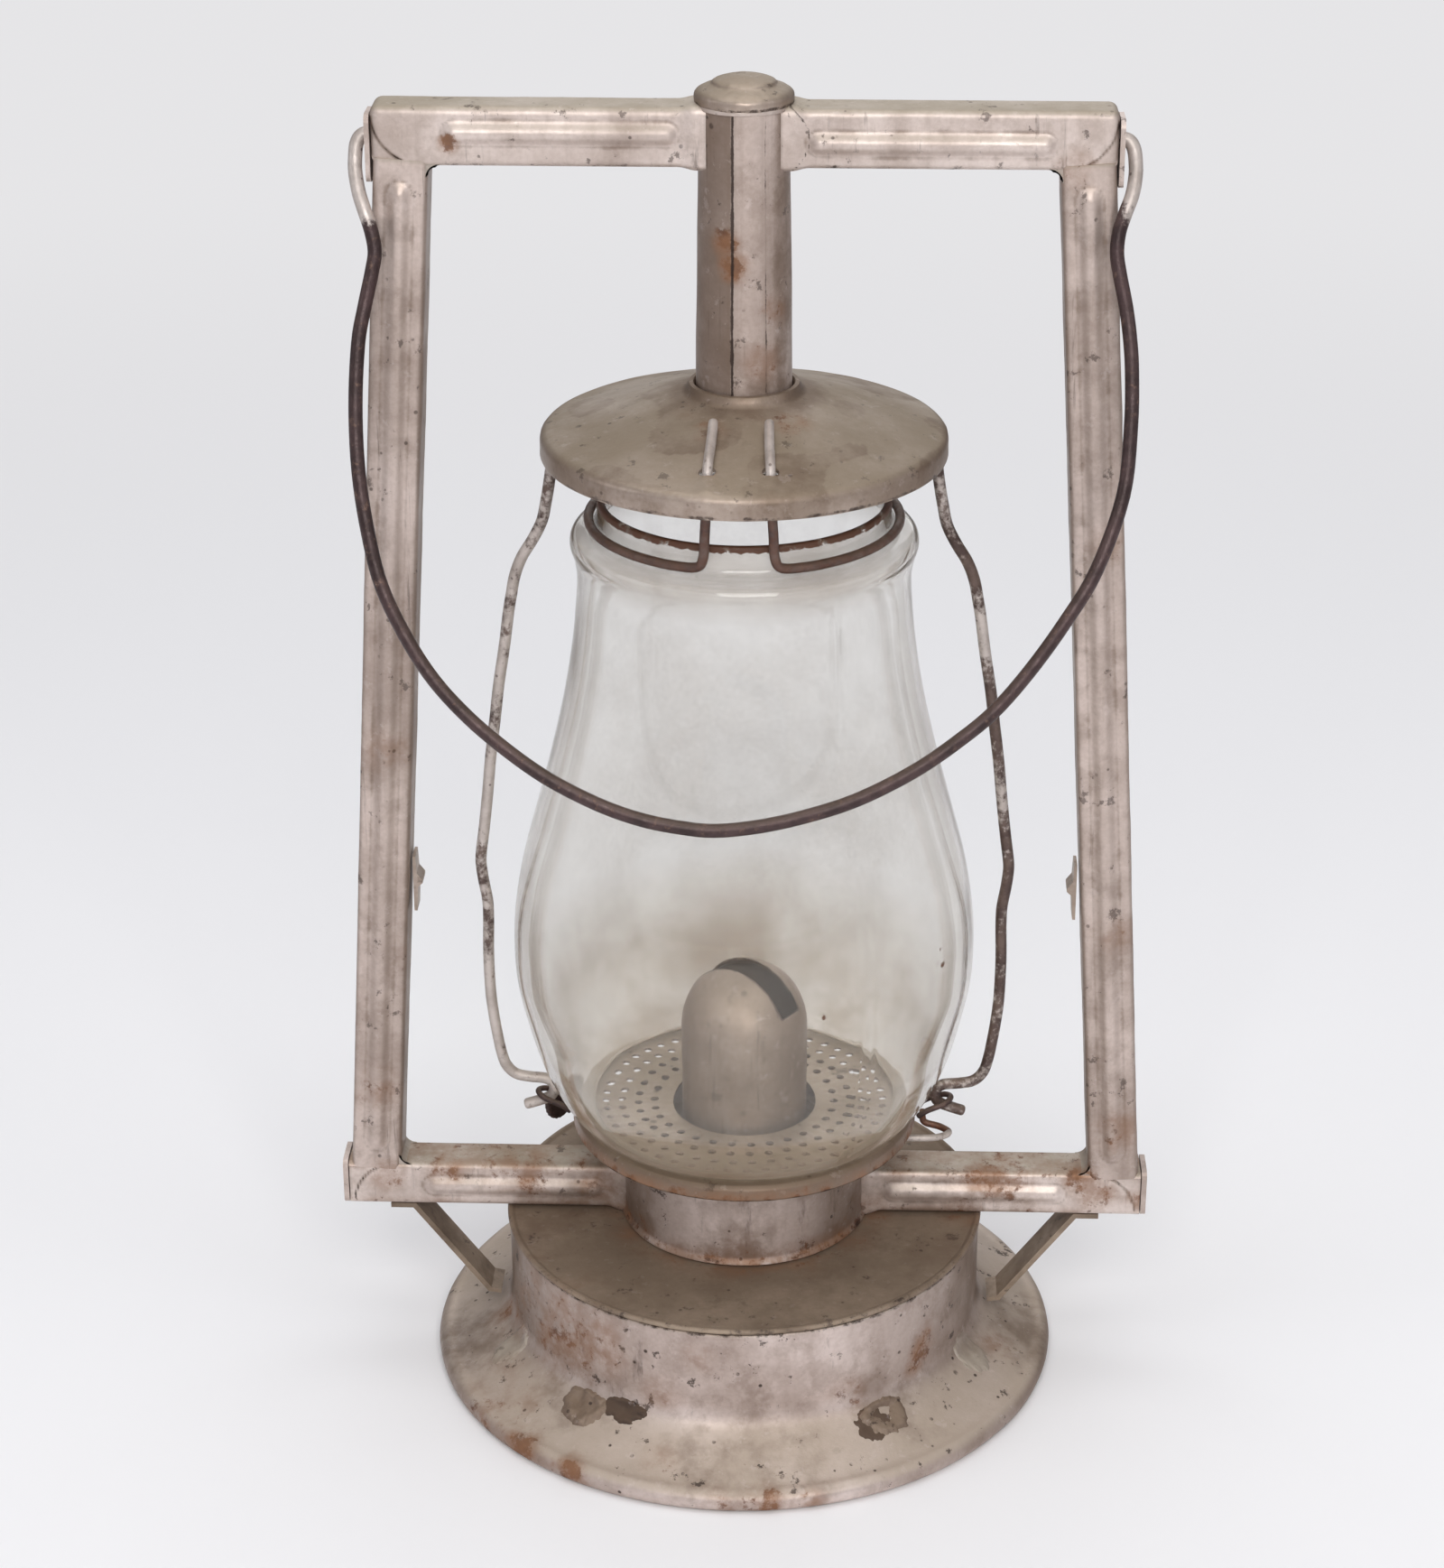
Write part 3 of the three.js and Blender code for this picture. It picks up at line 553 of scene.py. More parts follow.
def wire_mat(name, base, shade, paintcol=None, metallic=0.5, rough=0.5, share=0.55, off=0.0):
    """Bare or partly painted iron wire. 'bare' marks where no paint is left."""
    t = Tree(name)
    a = t.noise(120, 5, 0.65, off=off)
    b = t.noise(420, 5, 0.7, off=off + 3)
    col = t.mix(t.step(a, 0.35, 0.65), base, shade)
    col = t.mix(t.step(b, 0.55, 0.75, 0, 0.5), col, srgb(150, 120, 104))
    col = t.mix(t.m2("MULTIPLY", t.attr("rust"), t.step(b, 0.3, 0.6)), col, srgb(120, 72, 48))
    if paintcol is not None:
        k = t.m2("SUBTRACT", 1.0, t.attr("bare"))
        k = t.m2("ADD", k, t.m2("MULTIPLY", t.m2("SUBTRACT", b, 0.5), 1.5))
        k = t.step(k, 0.36, 0.7)
        pc = t.mix(t.step(a, 0.35, 0.7, 0, 0.45), paintcol, srgb(128, 114, 104))
        pc = t.mix(t.m2("MULTIPLY", t.specks(420, 0.22, 0.16, off), 0.7), pc, shade)
        col = t.mix(k, col, pc)
    # upward faces tinted: dust and painted shade
    col = t.mix(t.m2("MULTIPLY", t.attr("up"), 0.25), col, srgb(140, 122, 104))
    nrm = t.bump(t.m2("ADD", a, b), 0.5, 0.0004)
    rg = t.step(b, 0.3, 0.7, rough - 0.1, rough + 0.15)
    p = t.add("ShaderNodeBsdfPrincipled", {"Base Color": col, "Metallic": metallic, "Roughness": rg, "Normal": nrm})
    return t.out(p.outputs[0])


def glass_mat():
    t = Tree("clear_globe_glass")
    haze = t.noise(30, 4, 0.6)
    grit = t.noise(700, 4, 0.7, off=3)
    dust_and_painted_light = t.m2("MULTIPLY", t.step(haze, 0.3, 0.75, 0.03, 0.11), t.step(grit, 0.3, 0.7, 0.55, 1.0))
    # the attribute read here adds the dust film, the painted reflection and the edge shade
    dust_and_painted_light = t.m2("MAXIMUM", dust_and_painted_light, t.m2("MULTIPLY", t.attr("haze_and_reflection"), t.step(haze, 0.25, 0.7, 0.3, 0.62)))
    dcol = t.mix(t.step(haze, 0.4, 0.65), srgb(178, 164, 148), srgb(146, 126, 104))
    rn = t.noise(300, 5, 0.7, off=5)
    rf = t.m2("ADD", t.attr("mark"), t.m2("MULTIPLY", t.m2("SUBTRACT", rn, 0.5), 1.6))
    rf = t.m2("MULTIPLY", t.step(rf, 0.5, 0.8), t.step(t.attr("mark"), 0.0, 0.1))
    fac = t.m2("MAXIMUM", dust_and_painted_light, rf, clamp=True)
    dcol = t.mix(rf, dcol, srgb(92, 58, 40))
    wav = t.bump(t.noise(22, 2, 0.5, vec=t.scaled(1, 1, 0.6)), 0.25, 0.002)
    lw = t.add("ShaderNodeLayerWeight", {"Blend": 0.22}).outputs["Facing"]
    gcol = t.mix(t.step(lw, 0.3, 1.0), (0.97, 0.968, 0.955, 1), (0.62, 0.56, 0.47, 1))
    clear = t.add("ShaderNodeBsdfPrincipled", {"Base Color": gcol, "Roughness": 0.03, "IOR": 1.5, "Transmission Weight": 1.0, "Normal": wav})
    dirty = t.add("ShaderNodeBsdfPrincipled", {"Base Color": dcol, "Roughness": 0.6, "Normal": wav})
    mixed = t.add("ShaderNodeMixShader", {0: fac, 1: clear.outputs[0], 2: dirty.outputs[0]})
    see = t.add("ShaderNodeBsdfTransparent", {"Color": (0.94, 0.95, 0.93, 1)})
    lp = t.add("ShaderNodeLightPath")
    final = t.add("ShaderNodeMixShader", {0: lp.outputs["Is Shadow Ray"], 1: mixed.outputs[0], 2: see.outputs[0]})
    return t.out(final.outputs[0])


def plain(name, a, b, metallic=0.0, rough=0.7, scale=300, off=0.0, bump=0.4):
    t = Tree(name)
    n1 = t.noise(scale, 5, 0.65, off=off)
    n2 = t.noise(scale * 0.2, 4, 0.6, off=off + 2)
    col = t.mix(t.step(n1, 0.35, 0.68), a, b)
    col = t.mix(t.step(n2, 0.4, 0.7, 0, 0.5), col, b)
    p = t.add("ShaderNodeBsdfPrincipled", {"Base Color": col, "Metallic": metallic, "Roughness": t.step(n2, 0.3, 0.7, rough - 0.1, rough + 0.1), "Normal": t.bump(n1, bump, 0.0004)})
    return t.out(p.outputs[0])


def cotton_mat():
    t = Tree("wick_cotton_weave")
    w1 = t.add("ShaderNodeTexWave", {"Vector": t.pos, "Scale": 420, "Distortion": 1.5, "Detail": 2}, wave_type="BANDS", bands_direction="Z").outputs["Fac"]
    w2 = t.add("ShaderNodeTexWave", {"Vector": t.pos, "Scale": 520, "Distortion": 1.5, "Detail": 2}, wave_type="BANDS", bands_direction="X").outputs["Fac"]
    h = t.m2("MULTIPLY", w1, w2)
    z = t.add("ShaderNodeSeparateXYZ", {0: t.pos}).outputs["Z"]
    char = t.step(z, 0.096, 0.103)
    col = t.mix(h, srgb(120, 104, 82), srgb(196, 180, 150))
    col = t.mix(char, col, srgb(30, 26, 24))
    p = t.add("ShaderNodeBsdfPrincipled", {"Base Color": col, "Roughness": 0.95, "Normal": t.bump(h, 0.8, 0.0004)})
    return t.out(p.outputs[0])


BASE = srgb(226, 212, 205)
SHADE = srgb(168, 151, 141)
DUST_AND_SHADE = srgb(158, 147, 127)
tin = paint("aged_aluminium_paint", BASE, SHADE, DUST_AND_SHADE)
tin_side = paint("aged_aluminium_paint_runs", srgb(212, 196, 188), srgb(148, 130, 119), DUST_AND_SHADE, streaks=(170, 170, 7), off=5.1, side=0.55)
tin_fount = paint("aged_aluminium_paint_fount", srgb(224, 209, 203), srgb(156, 137, 126), srgb(188, 173, 157), dust_and_shade_amount=0.85, off=11.3, side=0.7, streaks=(60, 60, 14), speck=1.3)
tin_dusty = paint("dusty_paint", srgb(190, 174, 163), srgb(128, 111, 94), srgb(144, 130, 110), dust_and_shade_amount=0.75, off=17.7, side=0.5, speck=0.8, metallic=0.55, rough=0.4, streaks=(50, 50, 50), flecks=0.1)
# darker copy of the paint for the fount top and the braces: dust, and painted shade for the fount top lying in shadow
tin_top_dust_and_shade = paint("shaded_dusty_fount_top", srgb(166, 148, 130), srgb(96, 79, 64), srgb(118, 100, 82), dust_and_shade_amount=0.6, off=23.9, side=0.4, speck=0.9, metallic=0.25, rough=0.6, streaks=(40, 40, 40), flecks=0.05)
# darker copy of the paint for the burner cone: painted shade for the cone standing inside the globe
cone_mat = paint("shaded_burner_cone", srgb(162, 147, 136), srgb(112, 96, 84), srgb(160, 146, 132), dust_and_shade_amount=0.5, off=31.0, side=0.6, speck=0.5, metallic=0.6, rough=0.45, bump=0.12)
iron = wire_mat("bare_iron_wire", srgb(92, 72, 68), srgb(58, 44, 42), metallic=0.45, rough=0.5)
iron_painted = wire_mat("painted_iron_wire", srgb(112, 94, 86), srgb(78, 62, 58), paintcol=srgb(206, 196, 190), metallic=0.4, rough=0.45, off=4)
bail_mat = wire_mat("bail_wire", srgb(80, 62, 62), srgb(56, 42, 42), paintcol=srgb(206, 196, 190), metallic=0.45, rough=0.42, off=9)
brass = plain("old_brass", srgb(128, 108, 74), srgb(84, 68, 48), metallic=0.7, rough=0.5, scale=220)
cork = plain("cork_gasket", srgb(150, 112, 74), srgb(96, 66, 42), rough=0.9, scale=900, bump=0.8)
solder = paint("solder_smear", srgb(196, 186, 178), srgb(150, 138, 126), srgb(168, 156, 140), off=41, metallic=0.35, rough=0.5, speck=0.6)
solder_dark = paint("torn_solder", srgb(150, 132, 118), srgb(104, 86, 74), srgb(140, 122, 104), off=43, metallic=0.35, rough=0.55, speck=1.3)
torn = paint("torn_tin", srgb(96, 78, 66), srgb(58, 44, 36), srgb(96, 78, 64), off=47, metallic=0.3, rough=0.6, speck=1.4)
glass = glass_mat()
cotton = cotton_mat()

# ------------------------------------------------------------------ fount and base
rng = np.random.default_rng(7)


def dent_body(r, z, a):
    x, y = r * math.cos(a), r * math.sin(a)
    k = noise.noise(Vector((x * 0.03, y * 0.03, z * 0.03 + 3.0))) * 0.45 + noise.noise(Vector((x * 0.11, y * 0.11, z * 0.09))) * 0.16
    if r > 80:
        return (-abs(k) * 0.5, (k * 0.35 if 0.8 < z < 4.8 else 0.0))
    if r > 64.8 and z < 16:
        return (k * 0.35, k * 0.5)
    return (k - 0.25, 0.0)


body_prof = soften([(65, 40.7), (65, 36), (65, 28), (65, 20), (65, 15.4), (66.3, 13.2), (69, 11.2), (73, 9.1), (77.5, 7.1), (81.2, 5.6), (83.2, 5.5), (84.9, 4.4), (85.5, 2.7), (85.1, 1.0),
                    (84.3, 0), (82.1, 0), (81.0, 1.2), (80.7, 3.0), (77.1, 6.1), (72.6, 8.0), (68.4, 10.2), (65.3, 12.4), (64, 14.6), (64, 28), (64, 40.7)], 1.1)
V, F = lathe_mesh(body_prof, 200, bumps=dent_body)
piece("fount_body_shell", V, outward(V, F), tin_fount, replaces="fount_body", sharp=60,
      attrs={"edge": lambda c: 0.55 * (1 - sstep(0.3, 1.6, np.abs(c[:, 2] - 40.6))) * (np.hypot(c[:, 0], c[:, 1]) > 60)})

top_prof = soften([(14.2, 41), (30, 41), (48, 41), (64.4, 41), (65.2, 41.4), (65.4, 42.0), (65.0, 42.7), (64.2, 42.7), (63.3, 42.0), (56, 42.0), (46, 42), (36, 42), (25, 42), (14.2, 42.0)], 0.35)


def dent_top(r, z, a):
    if 15 < r < 63:
        x, y = r * math.cos(a), r * math.sin(a)
        return (0, -abs(noise.noise(Vector((x * 0.05, y * 0.05, 1.5)))) * 0.28 * min(1, (63 - r) / 6))
    return (0, 0)


V, F = lathe_mesh(top_prof, 200, bumps=dent_top)
hole, hf = lathe_mesh([(8.2, 38), (8.2, 46), (0, 46), (0, 38)], 40, centre=(0, 50))
V, F = cut((V, outward(V, F)), (hole, outward(hole, hf)))
piece("fount_top_sheet", V, F, tin_top_dust_and_shade, replaces="fount_top", sharp=50,
      attrs={"edge": lambda c: 0.45 * (1 - sstep(0.2, 1.2, np.abs(np.hypot(c[:, 0], c[:, 1]) - 65.0))),
             "rust": lambda c: np.maximum(field(c, RUST), 0.5 * (1 - sstep(0.5, 5.0, np.abs(np.hypot(c[:, 0], c[:, 1]) - 34.0))))})

# burner collar
collar_prof = soften([(32.4, 42.4), (33.6, 42.4), (34.2, 42.6), (33.6, 43.6), (33.2, 44.4), (33.2, 50), (33.2, 58), (33.2, 66), (33.3, 71.6), (33.6, 72.6), (33.3, 73.2), (32.5, 73.2), (32.4, 66), (32.4, 50)], 0.5)
V, F = lathe_mesh(collar_prof, 160, bumps=lambda r, z, a: (noise.noise(Vector((r * math.cos(a) * 0.07, r * math.sin(a) * 0.07, z * 0.06))) * 0.3 - 0.1, 0))
piece("burner_collar_shell", V, outward(V, F), tin_fount, replaces="burner_collar", sharp=50,
      attrs={"edge": lambda c: 0.45 * (1 - sstep(0.2, 1.3, np.abs(c[:, 2] - 43.2))), "stain_and_shade": lambda c: np.maximum(field(c, STAIN_AND_SIDE_SHADE), 0.85 * sstep(61, 69, c[:, 2])),
             "rust": lambda c: np.maximum(np.maximum(field(c, RUST), 0.6 * (1 - sstep(43.5, 47.5, c[:, 2]))), 0.42 * sstep(64, 70, c[:, 2]))})

# filler cap
V, F = lathe_mesh(soften([(0, 51.6), (8.9, 51.6), (8.9, 44.4), (10.4, 44.4), (10.4, 51.4), (9.4, 52.8), (6, 53.4), (0, 53.6)], 0.6, closed=False), 96, closed=False, centre=(0, 50),
                  bumps=lambda r, z, a: ((-0.22 * (0.5 + 0.5 * math.cos(a * 32))) if r > 9.8 and 45 < z < 51.2 else 0, 0))
piece("filler_cap_knurled", V, outward(V, F), tin_dusty, replaces="filler_cap", sharp=50)

# wick knob: knurled disc
ang = math.radians(-33)
wd = np.array([-math.cos(ang), -math.sin(ang), 0])
ws = np.array([-wd[1] * -1, -wd[0], 0]) * 1.0
ws = np.array([wd[1], -wd[0], 0])
lo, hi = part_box("wick_knob")
kc = (np.array(lo) + np.array(hi)) / 2 / MM
V, F = lathe_mesh(soften([(0, -1.1), (5.4, -1.1), (6.0, -0.6), (6.0, 0.6), (5.4, 1.1), (1.9, 1.1), (1.7, 1.35), (0, 1.35)], 0.25, closed=False), 96, closed=False,
                  bumps=lambda r, z, a: (-0.35 * (0.5 + 0.5 * math.cos(a * 24)) if r > 5.5 else 0, 0))
rot = Matrix(((0, 0, 1), (0, 1, 0), (-1, 0, 0)))
yaw = Matrix.Rotation(math.atan2(wd[1], wd[0]), 3, "Z")
V = [tuple(yaw @ (rot @ Vector(v)) + Vector(kc)) for v in V]
piece("wick_knob_knurled", V, outward(V, F), iron, replaces="wick_knob", sharp=50)

# burner cone with its flame slot
cone_prof = []
for i in range(25):
    a = math.pi / 2 * i / 24
    cone_prof.append((18 * math.sin(a), 98 + 18 * math.cos(a)))
cone_prof += [(18, 92), (18, 84), (18, 75), (18.1, 69), (18.6, 66.6), (20, 66.0), (23, 66.0), (23, 65.3), (18.3, 65.3), (17.4, 66.6), (17.4, 80), (17.4, 98)]
for i in range(24, -1, -1):
    a = math.pi / 2 * i / 24
    if i < 24:
        cone_prof.append((17.4 * math.sin(a), 98 + 17.4 * math.cos(a)))
cone_prof = [(r * (0.95 if r < 18.2 else 1.0), z) for r, z in cone_prof]
V, F = lathe_mesh(cone_prof, 128, closed=False, bumps=lambda r, z, a: (noise.noise(Vector((r * math.cos(a) * 0.12, r * math.sin(a) * 0.12, z * 0.1))) * 0.2 - 0.1, 0))
bx = []
hy = 3.9
seg = 10
for k in range(seg + 1):
    t = math.pi * k / seg - math.pi / 2
    bx.append((13.6 + hy * math.cos(t), hy * math.sin(t)))
for k in range(seg + 1):
    t = math.pi * k / seg + math.pi / 2
    bx.append((-13.6 + hy * math.cos(t), hy * math.sin(t)))
bv = []
for z in (105.0, 125.0):
    for x, y in bx:
        v = yaw @ Vector((x, y, 0))
        bv.append((v.x, v.y, z))
m = len(bx)
bf = [(k, (k + 1) % m, m + (k + 1) % m, m + k) for k in range(m)] + [tuple(reversed(range(m))), tuple(range(m, 2 * m))]
V, F = cut((V, outward(V, F)), (bv, outward(bv, bf)))
slot_dir = Vector((wd[0], wd[1], 0))


def slot_edge(c):
    across = np.abs(c[:, 0] * wd[1] - c[:, 1] * wd[0])
    along = np.abs(c[:, 0] * wd[0] + c[:, 1] * wd[1])
    d = np.hypot(np.maximum(along - 14.2, 0), across)
    rad = np.sqrt(c[:, 0] ** 2 + c[:, 1] ** 2 + np.maximum(c[:, 2] - 98, 0) ** 2)
    return np.maximum(0.7 * (1 - sstep(0.1, 1.4, np.abs(d - 3.9))) * (c[:, 2] > 104), 1.6 * (rad < 16.8))


piece("burner_cone_slotted", V, F, cone_mat, replaces="burner_cone", sharp=40, attrs={"edge": slot_edge})

# ------------------------------------------------------------------ square tubes
def side_x(z):
    return 108.5 - 6.75 - 0.0634 * (z - 42)


for s, side in ((-1, "left"), (1, "right")):
    # upper tube
    x0, x1 = (71.2, 17.2) if s < 0 else (73.8, 16.9)
    V, F = box_tube((s * 9.0, 342.3), (s * 90.2, 342.3), 14.6, 12.7, 1.8, beads=[(x1 - 9.0 - 1.5, x0 - 9.0 + 1.5, -1.0 if s > 0 else -1.0, 2.9, 1.45)],
                    flare=lambda q, L: 0.7 * (1 - float(sstep(2.4, 6.8, q))), seed=1.3 + s, tab=(77.0, 348.0, 12.9, 12.6, -1), step=0.75, cap_r=2.2)
    ex = tube_attrs(lambda c: np.maximum(0.4 * (1 - sstep(0.2, 1.0, np.abs(c[:, 2] - 335.2))), 0.7 * (1 - sstep(0.1, 0.7, np.abs(c[:, 0] - (15.9 - ((c[:, 2] - 342.3) / 6.5) ** 2 * 3.0)))) * (c[:, 1] < 0)))
    piece(f"upper_tube_{side}_pressed", V, F, tin, replaces=f"upper_tube_{side}", sharp=50, attrs=ex)
    # side tube
    a, b = (s * side_x(54.4), 54.4), (s * side_x(336.7), 336.7)
    V, F = box_tube(a, b, 13.5, 12.7, 1.7, beads=[(5.8, 277.2, 0, 3.1, 1.45)], seed=5.3 + s)
    piece(f"side_tube_{side}_pressed", V, F, tin_side, replaces=f"side_tube_{side}", sharp=50,
          attrs=tube_attrs(lambda c: np.zeros(len(c))))
    # lower tube
    V, F = box_tube((s * 31.9, 49.4), (s * 108.5, 49.4), 13.0, 12.7, 1.7, beads=[(6.5, 56, 0.2, 2.9, 1.3)],
                    flare=lambda q, L: 1.0 * (1 - float(sstep(1.5, 6.0, q))), seed=9.3 + s, tab=(95.2, 43.8, 11.8, 11.6, 1), step=0.75)
    piece(f"lower_tube_{side}_pressed", V, F, tin, replaces=f"lower_tube_{side}", sharp=50,
          attrs={**tube_attrs(lambda c: 0.35 * (1 - sstep(0.1, 0.8, np.abs(np.abs(c[:, 0]) - 38.2)))),
                 "rust": lambda c: np.maximum(field(c, RUST), 0.42 * (1 - sstep(0.5, 4.5, np.minimum(np.abs(c[:, 2] - 55.6), np.abs(c[:, 2] - 43.2)))))})
    # small solder fillets inside the corners
    for cx, cz, q in ((s * (side_x(334) - 6.4), 335.2, -1), (s * (side_x(56) - 6.5), 55.6, 1)):
        prof = []
        for k in range(9):
            t = math.pi / 2 * k / 8
            prof.append((cx - s * 3.2 * (1 - math.sin(t)), cz + q * 3.2 * (1 - math.cos(t))))
        out = prof + [(cx + s * 0.8, cz + q * 3.2), (cx + s * 0.8, cz - q * 0.6), (cx - s * 3.2, cz - q * 0.6)]
        V, F = plate_mesh(out, -5.9, 5.9, 0.3)
        piece(f"corner_fillet_{side}_{'upper' if q < 0 else 'lower'}", V, F, solder, body="frame", sharp=40)

# ------------------------------------------------------------------ centre tube and cap
angs = []
for k in range(160):
    angs.append(2 * math.pi * k / 160)
a0, a1 = math.radians(-90 - 12.0), math.radians(-90 + 28.0)
for e in (a0, a1):
    for d in (-0.012, 0.012):
        angs.append((e + d) % (2 * math.pi))
angs = sorted(set(angs))


def tube_seam(r, z, a):
    d = 0.0
    aa = ((a + math.pi / 2 + math.pi) % (2 * math.pi)) - math.pi
    if math.radians(-12.0) <= aa <= math.radians(28.0) and r > 11.1:
        d = 0.42
    w = noise.noise(Vector((r * math.cos(a) * 0.12, r * math.sin(a) * 0.12, z * 0.05))) * 0.22
    return (d + w - 0.1, 0)


def tube_r(z):
    return 12.3 + (11.4 - 12.3) * (z - 266) / (335 - 266) if z < 335 else 11.4


prof = [(tube_r(266) - 0.7, 266)] + [(tube_r(z), z) for z in np.linspace(266, 351, 60)] + [(10.7, 351)]
V, F = lathe_mesh(prof, closed=True, angles=angs, bumps=tube_seam)


def seam_edge(c):
    a = np.degrees(np.arctan2(c[:, 1], c[:, 0])) + 90
    l = 1 - sstep(0.4, 4.6, np.abs(a + 12.6))
    r = 1 - sstep(0.3, 3.0, np.abs(a - 28.0))
    br = np.array([noise.noise(Vector((0.5, 3.0, z * 0.10))) for z in c[:, 2]])
    return np.clip(np.maximum(l * 0.95, r * 0.6 * (br > -0.1)), 0, 1)


# painted shade: the left and right sides of the round tube are darkened as they turn from the light; the foot by the
# canopy is darker
def tube_side_shade_and_dark_foot(c):
    a = (np.degrees(np.arctan2(c[:, 1], c[:, 0])) + 90 + 180) % 360 - 180
    left = sstep(-12.0, -16.0, a) * (1 - sstep(-140, -170, a)) * 0.85
    right = sstep(30, 50, a) * 0.62
    foot = 0.5 * (1 - sstep(2, 9, c[:, 2] - 279))
    return np.maximum(np.maximum(left, right), foot)


piece("centre_tube_seamed", V, outward(V, F), tin_side, replaces="centre_tube", sharp=34,
      attrs={"edge": seam_edge, "stain_and_shade": tube_side_shade_and_dark_foot, "side": lambda c: np.zeros(len(c))})

cap_prof = soften([(0, 356.9), (2.6, 356.8), (4, 356.55), (6.6, 355.8), (7.6, 355.35), (8.0, 354.8), (8.4, 354.55), (10.4, 353.8), (11.6, 353.2), (12.3, 352.4), (12.35, 351.4), (12.2, 350.4), (11.9, 349.9), (11.6, 350.0),
                   (11.6, 351.4), (11.3, 352.2), (8.0, 353.6), (0, 355.4)], 0.5, closed=False)
V, F = lathe_mesh(cap_prof, 120, closed=False, bumps=lambda r, z, a: (noise.noise(Vector((r * math.cos(a) * 0.2, r * math.sin(a) * 0.2, z * 0.2))) * 0.18 - 0.08, -abs(noise.noise(Vector((r * math.cos(a) * 0.3, r * math.sin(a) * 0.3, 5.0)))) * 0.22))
piece("centre_tube_cap_pressed", V, outward(V, F), tin_dusty, replaces="centre_tube_cap", sharp=50,
      attrs={"edge": lambda c: 0.6 * (1 - sstep(0.2, 1.2, np.abs(c[:, 2] - 350.4))), "rust": lambda c: 0.0 * c[:, 0]})
# the pipe collar under the cap
V, F = lathe_mesh(soften([(11.2, 349.0), (12.0, 349.2), (12.0, 350.2), (11.2, 350.4)], 0.2), 96)
piece("cap_collar", V, outward(V, F), tin, body="frame", sharp=50)

# ------------------------------------------------------------------ canopy
def cone_z(r):
    return 277.6 - (r - 14.3) * (277.6 - 266.9) / (51.0 - 14.3)


def canopy_bump(r, z, a):
    x, y = r * math.cos(a), r * math.sin(a)
    k = noise.noise(Vector((x * 0.05, y * 0.05, 2.0))) * 0.35 + noise.noise(Vector((x * 0.16, y * 0.16, 4.0))) * 0.12
    dr = dz = 0.0
    if r > 50:
        dr = -abs(k) * 0.6
        return (dr, 0)
    if z > cone_z(r) - 0.5 and 16 < r < 50.4:
        dz = k * 0.45
        for sx in (-7.7, 7.7):
            if abs(y) > 38 and abs(abs(x) - 7.7) < 2.4 and x * sx > 0:
                dz += 0.55 * (1 - float(sstep(0.3, 2.2, abs(x - sx)))) * float(sstep(38, 41, abs(y))) * (1 - float(sstep(49.2, 50.6, r)))
    return (dr, dz)


can_prof = [(12.32, 279.2), (12.8, 279.7), (13.8, 279.6), (14.3, 278.6), (14.8, 277.5)] + [(r, cone_z(r)) for r in np.linspace(16, 49.5, 34)] + [(50.5, 266.9), (51.1, 266.2), (51.3, 265.2), (51.3, 263.2), (51.35, 261.8), (51.1, 261.2), (50.6, 261.2), (50.4, 262), (50.3, 265.5)] + \
    [(r, cone_z(r) - 0.95) for r in np.linspace(48.5, 16, 20)] + [(14.2, 276.5), (12.32, 276.7)]
V, F = lathe_mesh(can_prof, 220, bumps=canopy_bump)
V, F = (V, outward(V, F))
cyl = []
for y in (-1, 1):
    for x in (-7.6, 7.6):
        cyl.append(lathe_mesh([(2.1, 255), (2.1, 275), (0, 275), (0, 255)], 20, centre=(x, y * 40.4)))
cv, cf = join(*[(v, outward(v, f)) for v, f in cyl])
V, F = cut((V, F), (cv, cf))
piece("canopy_dome", V, F, tin_dusty, replaces="canopy", sharp=48,
      attrs={"edge": lambda c: np.maximum(0.3 * (1 - sstep(0.3, 1.2, np.abs(np.hypot(c[:, 0], c[:, 1]) - 13.2))), 0.55 * (1 - sstep(0.2, 1.1, np.abs(c[:, 2] - 261.6)))),
             "stain_and_shade": lambda c: np.maximum(np.maximum(field(c, STAIN_AND_SIDE_SHADE), 0.75 * (1 - sstep(15, 27, np.hypot(c[:, 0], c[:, 1])))), 0.45 * (n3(c, 0.045, 3.0) > 0.05)),
             "rust": lambda c: np.maximum(field(c, RUST), 0.42 * (1 - sstep(0.4, 3.5, np.minimum(np.hypot(np.abs(c[:, 0]) - 7.4, np.abs(c[:, 1]) - 41), 9))))})

# ------------------------------------------------------------------ wires
def on_canopy(r):
    return cone_z(r) + 1.25 + 0.4


def staple(s, y):
    return [(s * 6.8, y * 23, on_canopy(23)), (s * 7.0, y * 30, on_canopy(30.8)), (s * 7.4, y * 38, on_canopy(38.7)), (s * 7.55, y * 40.1, on_canopy(41) - 0.9), (s * 7.6, y * 40.8, on_canopy(42) - 3.0)]


def down(s, y):
    return [(s * 7.8, y * 40.7, 262), (s * 8.3, y * 40.2, 254), (s * 8.7, y * 39.6, 247.5)]


